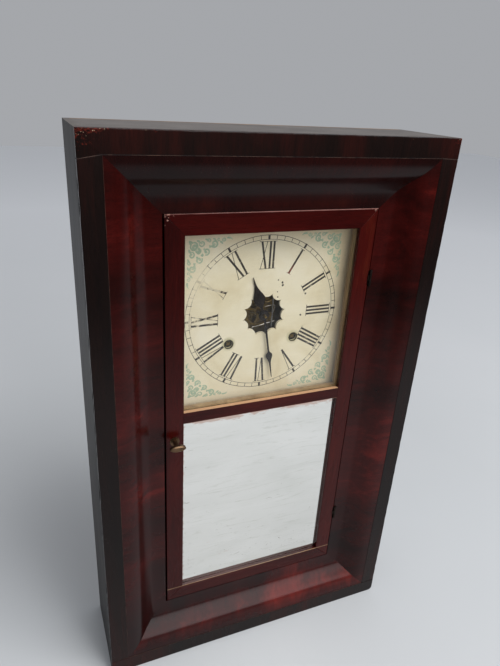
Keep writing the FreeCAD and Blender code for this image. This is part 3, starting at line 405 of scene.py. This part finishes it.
# ---- meshes ----
def piece(name, points, faces, material, body, smooth=None, bevel=0.0):
    """Mesh object from points in millimetres, riding on a body."""
    mesh = bpy.data.meshes.new(name)
    mesh.from_pydata([tuple(c * MM for c in p) for p in points], [], faces)
    mesh.validate()
    mesh.materials.append(material)
    obj = bpy.data.objects.new(name, mesh)
    bpy.context.scene.collection.objects.link(obj)
    if smooth is not None:
        mesh.shade_smooth()
        mesh.set_sharp_from_angle(angle=math.radians(smooth))
    if bevel:
        mod = obj.modifiers.new("edges", "BEVEL")
        mod.width = bevel * MM
        mod.segments = 2
        mod.limit_method = "ANGLE"
        mod.angle_limit = math.radians(50)
        mod.harden_normals = False
    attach(obj, body)
    return obj


def ring_faces(spans, ring):
    """Quads joining one ring of points to the next, over a number of spans."""
    return [(i * ring + j, i * ring + (j + 1) % ring, (i + 1) * ring + (j + 1) % ring, (i + 1) * ring + j)
            for i in range(spans) for j in range(ring)]


def member(name, outer, inner, side, profile, material, body, steps=24, pockets=(), **kw):
    """Mitred frame member; profile points are (distance in from the outer edge, y).

    At the stations between a pocket's two heights the inner edge is cut back to POCKET_Y.
    """
    x0, x1, z0, z1 = outer
    dx0, dx1, dz0, dz1 = inner[0] - x0, x1 - inner[1], inner[2] - z0, z1 - inner[3]
    width = {"left": dx0, "right": dx1, "top": dz1, "bottom": dz0}[side]
    stations = [(i / steps, False) for i in range(steps + 1)]
    for low, high in pockets:
        ends = ((low, False), (low, True), (high, True), (high, False))
        stations += [((h - z0) / (z1 - z0), cut) for h, cut in ends]
        stations = [s for s in stations if s[0] * (z1 - z0) + z0 <= low or s[0] * (z1 - z0) + z0 >= high]
    order = sorted(range(len(stations)), key=lambda k: (stations[k][0], k))
    points, faces, n = [], [], len(profile)
    for t, cut in (stations[k] for k in order):
        for s, y in profile:
            f = s / width
            x = x0 + f * dx0 + t * (x1 - x0 - f * (dx0 + dx1))
            z = z0 + t * (z1 - z0) if pockets else z0 + f * dz0 + t * (z1 - z0 - f * (dz0 + dz1))
            if pockets:
                z = min(max(z, z0 + f * dz0), z1 - f * dz1)
            if cut and x1 - s <= POCKET_X + 0.01:
                y = max(y, POCKET_Y)
            points.append({"left": (x0 + s, y, z), "right": (x1 - s, y, z),
                           "top": (x, y, z1 - s), "bottom": (x, y, z0 + s)}[side])
    faces += ring_faces(len(order) - 1, n)
    last = (len(order) - 1) * n
    faces += [tuple(range(n - 1, -1, -1)), tuple(range(last, last + n))]
    obj = piece(name, points, faces, material, body, **kw)
    fix_normals(obj)
    return obj


def fix_normals(obj):
    """Turn every face of a closed mesh outwards."""
    bm = bmesh.new()
    bm.from_mesh(obj.data)
    bmesh.ops.recalc_face_normals(bm, faces=bm.faces)
    bm.to_mesh(obj.data)
    bm.free()


def smooth_curve(points, count):
    """Points along a Catmull-Rom curve through the given points, in two or three dimensions."""
    ends = [points[0]] + list(points) + [points[-1]]
    out = []
    for a, b, c, d in zip(ends, ends[1:], ends[2:], ends[3:]):
        for i in range(count):
            t = i / count
            out.append(tuple(0.5 * (2 * q + (r - p) * t + (2 * p - 5 * q + 4 * r - s) * t * t
                                    + (3 * q - p - 3 * r + s) * t ** 3)
                             for p, q, r, s in zip(a, b, c, d)))
    return out + [tuple(points[-1])]


def finish_nodes(plan):
    """Give each material in the plan to its list of CAD nodes."""
    for material, names in plan.items():
        for name in names:
            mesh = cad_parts[name].data
            mesh.materials.clear()
            mesh.materials.append(material)


# ---- case and door ----
def case_front(woods):
    """The ogee's four mitred lengths, with the hinge pockets cut in the right one."""
    outer = (-HALF_W, HALF_W, 0.0, CASE_H)
    inner = (-HALF_W + OGEE_END, HALF_W - OGEE_END, OGEE_END, CASE_H - OGEE_END)
    curve = [(s, FRONT + d) for s, d in smooth_curve(OGEE_CURVE, 6)]
    lip = HALF_W - POCKET_X
    lip_y = FRONT + 20.8 + (OGEE_EDGE - 20.8) * (lip - 61.0) / (OGEE_END - 61.0)
    profile = curve + [(lip - 0.02, lip_y), (lip, lip_y), (OGEE_END, FRONT + OGEE_EDGE),
                       (OGEE_END, FRONT + OGEE_BACK), (BOARD, FRONT + OGEE_BACK),
                       (BOARD, FRONT + BAND_T), (BAND_W, FRONT + BAND_T)]
    pockets = [(z - POCKET_HALF, z + POCKET_HALF) for z in HINGE_ZS]
    made = {side: member("ogee_" + side, outer, inner, side, profile, woods["ogee_" + side], "case", 40,
                         pockets=pockets if side == "right" else (), smooth=40)
            for side in ("left", "right", "top", "bottom")}
    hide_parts("ogee_stiles")
    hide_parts("ogee_rails")


def slab(name, outline, material, bevel=0.7):
    """Flat band of the case front from an XZ outline, its edges rounded."""
    n = len(outline)
    points = [(x, FRONT, z) for x, z in outline] + [(x, FRONT + BAND_T, z) for x, z in outline]
    faces = [tuple(range(n)), tuple(range(2 * n - 1, n - 1, -1))]
    faces += [(i, i + n, (i + 1) % n + n, (i + 1) % n) for i in range(n)]
    obj = piece(name, points, faces, material, "case", bevel=bevel)
    fix_normals(obj)
    return obj


def worn_line(a, b, inward, rng, depth=0.45, step=7.0):
    """Points from a up to b, each dented a little towards the inside."""
    count = max(2, int(math.dist(a, b) / step))
    out = []
    for i in range(count):
        t, d = i / count, depth * rng.random() ** 3 if 0 < i else 0.0
        out.append((a[0] + t * (b[0] - a[0]) + inward[0] * d, a[1] + t * (b[1] - a[1]) + inward[1] * d))
    return out


def face_bands(band, band_rail, filler):
    """Four veneered bands; the joints at the top corners run a little downhill to the outside."""
    rng = random.Random(11)
    w, h, b, low, top = HALF_W, CASE_H, BAND_W, BAND_W, CASE_H - BAND_W
    drop_left, drop_right = 3.6, 1.0
    made = [
        slab("band_left", worn_line((-w, low), (-w, top - drop_left), (1, 0), rng)
             + [(-w, top - drop_left), (b - w, top), (b - w, low)], band),
        slab("band_right", worn_line((w, low), (w, top - drop_right), (-1, 0), rng)
             + [(w, top - drop_right), (w - b, top), (w - b, low)], band),
        slab("band_top", worn_line((-w, h), (w, h), (0, -1), rng)
             + [(w, h), (w, top - drop_right + 0.05), (w - b, top + 0.05), (b - w, top + 0.05),
                (-w, top - drop_left + 0.05)], band_rail),
    ]
    corner = [(w - WORN_R + WORN_R * math.sin(a), WORN_R - WORN_R * math.cos(a))
              for a in (math.pi / 2 * i / 8 for i in range(9))]
    made.append(slab("band_bottom", [(-w, low - 0.05), (-w, 0.0)] + corner + [(w, low - 0.05)], band_rail))
    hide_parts("face_bands")
    lines = Paint(0.0, FRONT, 0.0)
    lines.ribbon([(-w + 0.5, top - drop_left + 0.1), (b - w, top)], [0.35, 0.5])
    lines.ribbon([(w - b, top), (w - 0.5, top - drop_right)], [0.4, 0.3])
    lines.ribbon([(b - w + 0.2, low), (b - w + 0.2, top)], [0.28, 0.16])
    lines.ribbon([(b - w, top - 0.1), (w - b, top - 0.1)], [0.36, 0.24])
    lines.ribbon([(b - w, low + 0.2), (w - b, low + 0.2)], [0.5, 0.4])
    lines.ribbon([(-185.3, 646.5), (-179.0, 641.0), (-176.5, 638.9)], [0.1, 0.22, 0.1])
    lines.make("veneer_seams", filler)


def door_frame(wood, wood_rail):
    """The door's four outer members, mitred and rebated for the panes."""
    widths = {"left": DOOR_OPEN[0] - DOOR[0], "right": DOOR[1] - DOOR_OPEN[1],
              "top": DOOR[3] - DOOR_OPEN[3], "bottom": DOOR_OPEN[2] - DOOR[2]}
    for side, w in widths.items():
        profile = [(0.0, DOOR_FRONT), (w, DOOR_FRONT), (w, GLASS_FRONT), (w - REBATE, GLASS_FRONT),
                   (w - REBATE, DOOR_REAR), (0.0, DOOR_REAR)]
        veneer = wood if side in ("left", "right") else wood_rail
        member("door_%s_member" % side, DOOR, DOOR_OPEN, side, profile, veneer, "door", 8,
                            bevel=0.5, smooth=30)
    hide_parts("door_stile_left")
    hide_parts("door_stile_right")
    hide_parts("door_top_rail")
    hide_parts("door_bottom_rail")


# ---- dial painting ----
def on_dial(turn, r, across=0.0):
    """XZ point at a clockwise turn and radius, moved across the radius clockwise."""
    a = math.radians(turn)
    return (r * math.sin(a) + across * math.cos(a), DIAL_Z + r * math.cos(a) - across * math.sin(a))


class Paint:
    """Collects flat shapes lying on a surface into one thin mesh."""

    def __init__(self, lift=0.04, surface=DIAL_FRONT, step=0.00003):
        self.points, self.faces, self.y, self.under = [], [], surface - lift, surface + 0.02
        self.step = step      # keeps overlapping shapes out of one plane

    def shape(self, outline):
        n, base = len(outline), len(self.points)
        self.y -= self.step
        self.points += [(x, self.y, z) for x, z in outline] + [(x, self.under, z) for x, z in outline]
        self.faces.append(tuple(range(base, base + n)))
        for i in range(n):
            j = (i + 1) % n
            self.faces.append((base + i, base + n + i, base + n + j, base + j))

    def ring(self, r, width, count=180):
        for i in range(count):
            a, b = 360 * i / count, 360 * (i + 1) / count
            self.shape([on_dial(a, r - width / 2), on_dial(a, r + width / 2),
                        on_dial(b, r + width / 2), on_dial(b, r - width / 2)])

    def ribbon(self, path, widths):
        """Strip along XZ points with a width at each point."""
        left, right = [], []
        for i, (x, z) in enumerate(path):
            a, b = path[max(i - 1, 0)], path[min(i + 1, len(path) - 1)]
            dx, dz = b[0] - a[0], b[1] - a[1]
            size = math.hypot(dx, dz) or 1.0
            w = widths[i] / 2
            left.append((x - dz / size * w, z + dx / size * w))
            right.append((x + dz / size * w, z - dx / size * w))
        for i in range(len(path) - 1):
            self.shape([left[i], left[i + 1], right[i + 1], right[i]])

    def make(self, name, material):
        return piece(name, self.points, self.faces, material, "case")


NUMERALS = ["XII", "I", "II", "III", "IIII", "V", "VI", "VII", "VIII", "IX", "X", "XI"]
GLYPH_W = {"I": 4.25, "V": 9.4, "X": 10.6}
NUM_R0, NUM_H, THICK, THIN, SERIF = 54.8, 30.6, 2.35, 0.7, 0.55
RING_X, RING_OUT, RING_IN = 0.7, 92.4, 87.6


def clear_of_holes(turn, across):
    """Radius where a stroke may start so that it stays off the winding holes."""
    r = NUM_R0
    while min(math.dist(on_dial(turn, r, across), (s * WIND_X, WIND_Z)) for s in (-1, 1)) < 6.6:
        r += 0.3
    return r - NUM_R0


def numeral(paint, text, turn):
    """Roman numeral with thick and thin strokes, its feet towards the centre."""
    def bar(u0, u1, w):
        v0 = clear_of_holes(turn, u0)
        start = u0 + (u1 - u0) * v0 / NUM_H
        paint.shape([on_dial(turn, NUM_R0 + v0, start - w / 2), on_dial(turn, NUM_R0 + NUM_H, u1 - w / 2),
                     on_dial(turn, NUM_R0 + NUM_H, u1 + w / 2), on_dial(turn, NUM_R0 + v0, start + w / 2)])

    def serif(v, u0, u1):
        if clear_of_holes(turn, u0) + clear_of_holes(turn, u1) > 0 and v == 0:
            return
        paint.shape([on_dial(turn, NUM_R0 + v - SERIF / 2, u0), on_dial(turn, NUM_R0 + v + SERIF / 2, u0),
                     on_dial(turn, NUM_R0 + v + SERIF / 2, u1), on_dial(turn, NUM_R0 + v - SERIF / 2, u1)])

    u = -sum(GLYPH_W[c] for c in text) / 2
    serif(NUM_H, u - 0.9, -u + 0.9)
    for c in text:
        w = GLYPH_W[c]
        mid = u + w / 2
        if c == "I":
            bar(mid, mid, THICK)
            serif(0, mid - 2.9, mid + 2.9)
        elif c == "V":
            bar(mid + 0.3, u + 2.0, THICK)
            bar(mid + 0.9, u + w - 1.2, THIN)
        else:
            bar(u + w - 2.4, u + 2.4, THICK)
            bar(u + 1.8, u + w - 1.8, THIN)
            serif(0, u + 0.2, u + w - 0.2)
        u += w


def curl(paint, place, centre, r, start, sweep, wide):
    """Ribbon curling in to a round bud."""
    path = []
    for i in range(20):
        t = i / 19
        a = math.radians(start + sweep * t)
        size = r * (1 - 0.72 * t)
        path.append(place(centre[0] + size * math.cos(a), centre[1] + size * math.sin(a)))
    paint.ribbon(path, [1.15 * wide * (0.35 + 0.65 * math.sin(math.pi * (0.15 + 0.8 * i / 19)))
                        for i in range(20)])
    bud = wide * 0.45
    paint.shape([place(centre[0] + bud * math.cos(a), centre[1] + bud * math.sin(a))
                 for a in (math.pi * k / 5 for k in range(10))])


def leaf(paint, place, root, length, turn, wide):
    """Pointed leaf with a bend, from its root."""
    a, path = math.radians(turn), []
    for i in range(7):
        t = i / 6
        bend = a + 0.5 * t
        path.append(place(root[0] + length * t * math.cos(bend), root[1] + length * t * math.sin(bend)))
    paint.ribbon(path, [1.15 * wide * k for k in (0.3, 0.8, 1.0, 0.95, 0.75, 0.45, 0.1)])


# Corner ornament, as distances in from its corner: (centre, radius, start, sweep, width).
CURLS = (
    ((45, 2.6), 2.5, 200, -420, 1.1), ((33.5, 6.9), 4.3, 150, -470, 1.7),
    ((24, 15.2), 3.9, 120, -440, 1.6), ((9.5, 9), 4.6, 225, 400, 1.8),
    ((18.5, 6.2), 3.7, 200, -430, 1.4), ((27, 3.6), 2.5, 160, 400, 1.1),
    ((14.5, 15), 2.7, 225, -400, 1.3), ((38.5, 2.4), 2.0, 30, 380, 0.9))
# Leaves likewise: (root, length, turn, width).
LEAVES = (
    ((48, 1.5), 6.0, -20, 1.8), ((40, 5), 4.6, 10, 2.0), ((29, 10.5), 5.0, -40, 2.2),
    ((20, 12), 4.6, 20, 2.0), ((12, 3.0), 6.0, 5, 2.0), ((22, 1.6), 6.0, 5, 1.7),
    ((31, 1.6), 5.2, -5, 1.5), ((3, 3), 6.0, 45, 2.2), ((14, 10.5), 4.0, 45, 1.8),
    ((27.5, 8.2), 3.6, 60, 1.6), ((20, 20), 3.4, 225, 2.2), ((51, 0.8), 5.4, 5, 1.2))
# Each corner: its XZ point, the signs that point inwards, and the scale of the ornament.
CORNERS = ((-91.2, 554.6, 1, -1, 0.90, 0.98), (93.2, 555.6, -1, -1, 0.96, 0.99),
           (95.2, 362.0, -1, 1, 1.02, 1.02), (-91.0, 365.2, 1, 1, 0.92, 0.85))


def spandrel(paint, x, z, sx, sz, kx, kz):
    """Leafy scrollwork in one corner of the dial, mirrored about its diagonal."""
    for flip in (False, True):
        def place(a, b):
            a, b = (b, a) if flip else (a, b)
            return (x + sx * a * kx, z + sz * b * kz)

        for centre, r, start, sweep, wide in CURLS:
            curl(paint, place, centre, r, start, sweep, wide)
        for root, length, turn, wide in LEAVES:
            leaf(paint, place, root, length, turn, wide)


def blot(paint, rng, x, z, size):
    """Small uneven worn spot."""
    paint.shape([(x + size * rng.uniform(0.55, 1) * math.cos(a),
                  z + size * rng.uniform(0.55, 1) * math.sin(a))
                 for a in (0.3, 1.3, 2.4, 3.4, 4.4, 5.5)])


def paint_dial():
    """Numerals, minute ring, worn specks and corner ornaments."""
    black = Paint()
    for i, text in enumerate(NUMERALS):
        numeral(black, text, 30 * i)
    for r, width in ((RING_OUT, 0.62), (RING_IN, 0.5)):
        black.ring(r, width)
    for i in range(60):
        half = 1.25 if i % 5 == 0 else 0.3
        over = 0.4 if i % 5 == 0 else 0.0
        black.shape([(x + RING_X, z) for x, z in (
            on_dial(6 * i, RING_IN - over, -half), on_dial(6 * i, RING_OUT + over, -half),
            on_dial(6 * i, RING_OUT + over, half), on_dial(6 * i, RING_IN - over, half))])
    rng = random.Random(4)
    for x, z, size in ((15.6, 502.6, 1.3), (21.0, 499.2, 1.6), (21.4, 496.0, 1.7), (15.4, 488.4, 0.9),
                       (16.4, 482.2, 1.2), (51.6, 483.4, 1.7), (47.8, 457.2, 1.5)):
        blot(black, rng, x, z, size)
    black_ink = dial_ink("dial_black_ink", (0.024, 0.016, 0.010), (0.60, 0.53, 0.37))
    black.make("dial_numerals_and_ring", black_ink)
    green = Paint(0.03)
    for corner in CORNERS:
        spandrel(green, *corner)
    green.make("dial_spandrels", dial_ink("dial_green_ink", (0.36, 0.47, 0.32), (0.58, 0.60, 0.42), 0.06))


def tube(name, path, r, material, ring=8):
    """Round wire along a few points in millimetres, smoothed."""
    line = [Vector(p) for p in smooth_curve(path, 8)]
    points = []
    for i, p in enumerate(line):
        ahead = (line[min(i + 1, len(line) - 1)] - line[max(i - 1, 0)]).normalized()
        u = ahead.cross(Vector((0, 1, 0))).normalized()
        v = ahead.cross(u)
        for j in range(ring):
            a = 2 * math.pi * j / ring
            points.append(tuple(p + r * (math.cos(a) * u + math.sin(a) * v)))
    faces = ring_faces(len(line) - 1, ring)
    faces += [tuple(range(ring - 1, -1, -1)), tuple(range(len(points) - ring, len(points)))]
    return piece(name, points, faces, material, "case", smooth=60)


def movement_wires(steel, brass):
    """Thin wires and an arc of brass seen through the dial's opening."""
    release = [(-9.7, -3.0, 444.1), (4.0, -3.1, 446.6), (18.4, -3.0, 449.6)]
    bent = [(4.6, -3.6, 468.2), (12.0, -3.2, 469.6), (17.6, -3.0, 468.2), (14.4, -2.8, 456.0)]
    arc = [(-3.5, -3.2, 478.0), (4.5, -3.0, 474.6), (9.7, -2.9, 474.4), (18.0, -2.8, 478.0)]
    tube("release_wire", release, 0.42, steel)
    tube("bent_wire", bent, 0.34, steel)
    tube("brass_arc", arc, 0.6, brass)


def lathe(name, profile, centre, material, body, count=40):
    """Piece turned about y; profile points are (radius, distance along y) in millimetres."""
    points, faces, n = [], [], len(profile)
    for i in range(count):
        a = 2 * math.pi * i / count
        for r, d in profile:
            points.append((centre[0] + r * math.cos(a), centre[1] + d, centre[2] + r * math.sin(a)))
    for i in range(count):
        for j in range(n - 1):
            a, b = i * n + j, ((i + 1) % count) * n + j
            faces.append((a, a + 1, b + 1, b))
    obj = piece(name, points, faces, material, body, smooth=50)
    fix_normals(obj)
    return obj


def grommets(material):
    """Low rim round each winding hole."""
    rim = [(4.75, 0.9), (4.8, 0.0), (5.0, -0.3), (5.4, -0.35), (5.75, -0.15), (5.8, 0.0)]
    for x, side in ((WIND_X, "time"), (-WIND_X, "strike")):
        lathe(side + "_winding_grommet", rim, (x, DIAL_FRONT, WIND_Z), material, "case")


def cord_drops(material):
    """Twisted cords down to the weights, as long as the CAD cord drops they replace."""
    for side, sx in (("time", 1), ("strike", -1)):
        lo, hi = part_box(side + "_cord_drop")
        z0, z1, count, ring = lo.z / MM, hi.z / MM, 240, 8
        points = []
        for i in range(count + 1):
            z = z0 + (z1 - z0) * i / count
            for j in range(ring):
                a = 2 * math.pi * j / ring
                r = 0.82 + 0.18 * math.cos(3 * (a - z * 0.9))
                points.append((CORD_X * sx + r * math.cos(a), CORD_Y + r * math.sin(a), z))
        obj = piece(side + "_weight_cord", points, ring_faces(count, ring), material, "case", smooth=60)
        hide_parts(side + "_cord_drop")
        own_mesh(obj)


# ---- build ----
def ogee_woods():
    """Veneer of each length of the ogee; the bottom length's zones are painted highlight."""
    return {
        "ogee_left": mahogany("ogee_veneer_left", "x", FIERY,
                              ((2, 0.29, 0.20, 0.10), (2, 0.575, 0.05, 0.07)),
                              0.24, 0.3, 0.3, dull=(2, 0.60, 0.28, 0.75)),
        "ogee_right": mahogany("ogee_veneer_right", "x", FIERY,
                               ((2, 0.565, 0.075, 0.17), (2, 0.26, 0.10, 0.07)),
                               0.24, 0.3, 1.9, dull=(2, 0.62, 0.34, 0.7)),
        # Darker copy of the veneer: painted shade on the downward-facing top length.
        "ogee_top": mahogany("ogee_veneer_top", "z", SHADED_TOP_VENEER, ((2, 0.592, 0.012, 0.10),), 0.24, 0.25, 3.1),
        # The bottom length's zones are painted highlight along its convex band and towards the right.
        "ogee_bottom": mahogany("ogee_veneer_bottom", "z", FIERY,
                                ((2, 0.042, 0.022, 0.16), (0, 0.07, 0.08, 0.12)), 0.22, 0.40, 4.6),
    }


def wood_finishes():
    woods = ogee_woods()
    band = mahogany("band_veneer", "z", BLACKENED, (), 0.27, 0.26, 0.8, edge_chips)
    band_rail = mahogany("band_rail_veneer", "z", BLACKENED, ((2, CASE_H * MM, 0.03, 0.06),),
                         0.27, 0.26, 2.2, edge_chips, (2, CASE_H * MM, 0.10, 0.6))
    door_v = mahogany("door_veneer_upright", "z", DOOR_RED, ((0, 0.11, 0.03, 0.07),),
                      0.27, 0.26, 5.0, door_wear_and_highlight, (2, 0.60, 0.25, 0.5))
    door_h = mahogany("door_veneer_level", "x", DOOR_RED, (), 0.27, 0.26, 6.0, door_wear_and_highlight,
                      (2, 0.60, 0.25, 0.6))
    door_mid = mahogany("door_middle_rail", "x", DOOR_RED, (), 0.27, 0.26, 6.5, rail_highlight_and_edge)
    side = mahogany("side_board_stain", "z", SIDE, (), 0.42, 0.06, 7.0, top_dust_and_sheen)
    side_x = mahogany("end_board_stain", "x", SIDE, (), 0.42, 0.15, 8.0, top_dust_and_sheen)
    pine = plain_wood("backboard_pine", "z", (0.34, 0.21, 0.11), (0.16, 0.09, 0.045))
    bead = plain_wood("raw_bead_pine", "z", (0.42, 0.29, 0.15), (0.24, 0.15, 0.07))
    finish_nodes({
        side: ["case_side_left", "case_side_right"], side_x: ["case_top", "case_bottom"],
        pine: ["backboard", "weight_boards"], door_mid: ["door_mid_rail"], bead: ["glass_beads"],
    })
    case_front(woods)
    face_bands(band, band_rail, seam_filler())
    door_frame(door_v, door_h)


def metal_finishes():
    bronze = metal("dull_knob_bronze", (0.20, 0.125, 0.07), (0.07, 0.045, 0.03), 0.42, 0.7, 220.0)
    brass = metal("aged_brass", (0.46, 0.33, 0.14), (0.20, 0.13, 0.05), 0.38)
    # Painted shade: the movement's brass is darker than the other brass, standing for the shade behind the
    # dial.
    shaded_brass = metal("shaded_movement_brass", (0.25, 0.165, 0.045), (0.09, 0.057, 0.017), 0.5, 0.7)
    olive = metal("olive_grommet_brass", (0.075, 0.06, 0.020), (0.028, 0.022, 0.010), 0.65, 0.6, 300.0, 0.7)
    blued = metal("dark_hand_steel", (0.040, 0.030, 0.026), (0.020, 0.014, 0.011), 0.42, 0.5, 90.0)
    steel = metal("dull_steel", (0.36, 0.35, 0.33), (0.16, 0.14, 0.12), 0.4)
    wire = metal("bright_wire", (0.75, 0.70, 0.60), (0.35, 0.30, 0.24), 0.35)
    iron = metal("cast_iron", (0.075, 0.070, 0.066), (0.05, 0.032, 0.022), 0.6, 0.6, 45.0, 0.7)
    cord = cord_fibre()
    finish_nodes({
        dial_paint(): ["dial_panel"], clear_glass(): ["dial_glass"], old_mirror(): ["mirror_glass"],
        bronze: ["latch_knob", "latch_escutcheon"], brass: ["door_catch", "pendulum_bob"],
        shaded_brass: ["front_plate", "back_plate", "cannon_pinion", "hour_wheel", "minute_wheel",
                     "third_wheel", "centre_wheel", "time_great_wheel", "escape_wheel", "time_drum",
                     "strike_drum", "warning_wheel", "strike_pin_wheel", "strike_great_wheel",
                     "count_wheel", "strike_fly"],
        blued: ["minute_hand", "hour_hand", "case_hinge_leaves", "door_hinge_leaves"],
        steel: ["plate_pillars", "suspension_post", "verge", "pendulum_rod", "time_click", "strike_click",
                "count_lever", "hammer", "gong_coil"],
        iron: ["gong_base", "pulley_forks", "time_weight", "strike_weight", "time_pulley", "strike_pulley"],
        cord: ["cord_runs"],
    })
    grommets(olive)
    movement_wires(wire, brass)
    cord_drops(cord)


def floor_and_sky():
    """Pale floor under an even sky."""
    mesh = bpy.data.meshes.new("floor")
    mesh.from_pydata([(-6, -6, 0), (6, -6, 0), (6, 6, 0), (-6, 6, 0)], [], [(0, 1, 2, 3)])
    mesh.materials.append(floor_paint())
    floor = bpy.data.objects.new("floor", mesh)
    bpy.context.scene.collection.objects.link(floor)
    world = bpy.data.worlds.new("soft_sky")
    bpy.context.scene.world = world
    world.use_nodes = True
    sky = world.node_tree.nodes["Background"]
    sky.inputs["Color"].default_value = (0.375, 0.385, 0.405, 1.0)
    sky.inputs["Strength"].default_value = 1.0


def lamps():
    """Two large soft lamps aimed at the lower middle of the clock."""
    target = Vector((0, 0, 0.35))
    for name, place, size, power in (("front", (1.3, -4.8, 2.25), 2.6, 60.0),
                                     ("top", (0.75, -1.15, 2.45), 1.4, 52.0)):
        lamp = bpy.data.lights.new(name, "AREA")
        lamp.energy = power
        lamp.size = size
        obj = bpy.data.objects.new(name, lamp)
        obj.location = place
        obj.rotation_euler = (target - Vector(place)).to_track_quat("-Z", "Y").to_euler()
        bpy.context.scene.collection.objects.link(obj)


def view_camera():
    """The camera of the view to match."""
    camera = bpy.data.cameras.new("camera")
    camera.lens = LENS
    camera.sensor_width = SENSOR
    eye = bpy.data.objects.new("camera", camera)
    turn = Matrix((Vector(EYE_RIGHT), -Vector(EYE_DOWN), -Vector(EYE_AHEAD))).transposed().to_4x4()
    eye.matrix_world = Matrix.Translation(EYE) @ turn
    bpy.context.scene.collection.objects.link(eye)
    bpy.context.scene.camera = eye
    bpy.context.scene.view_settings.view_transform = "Standard"


wood_finishes()
metal_finishes()
paint_dial()
floor_and_sky()
lamps()
view_camera()
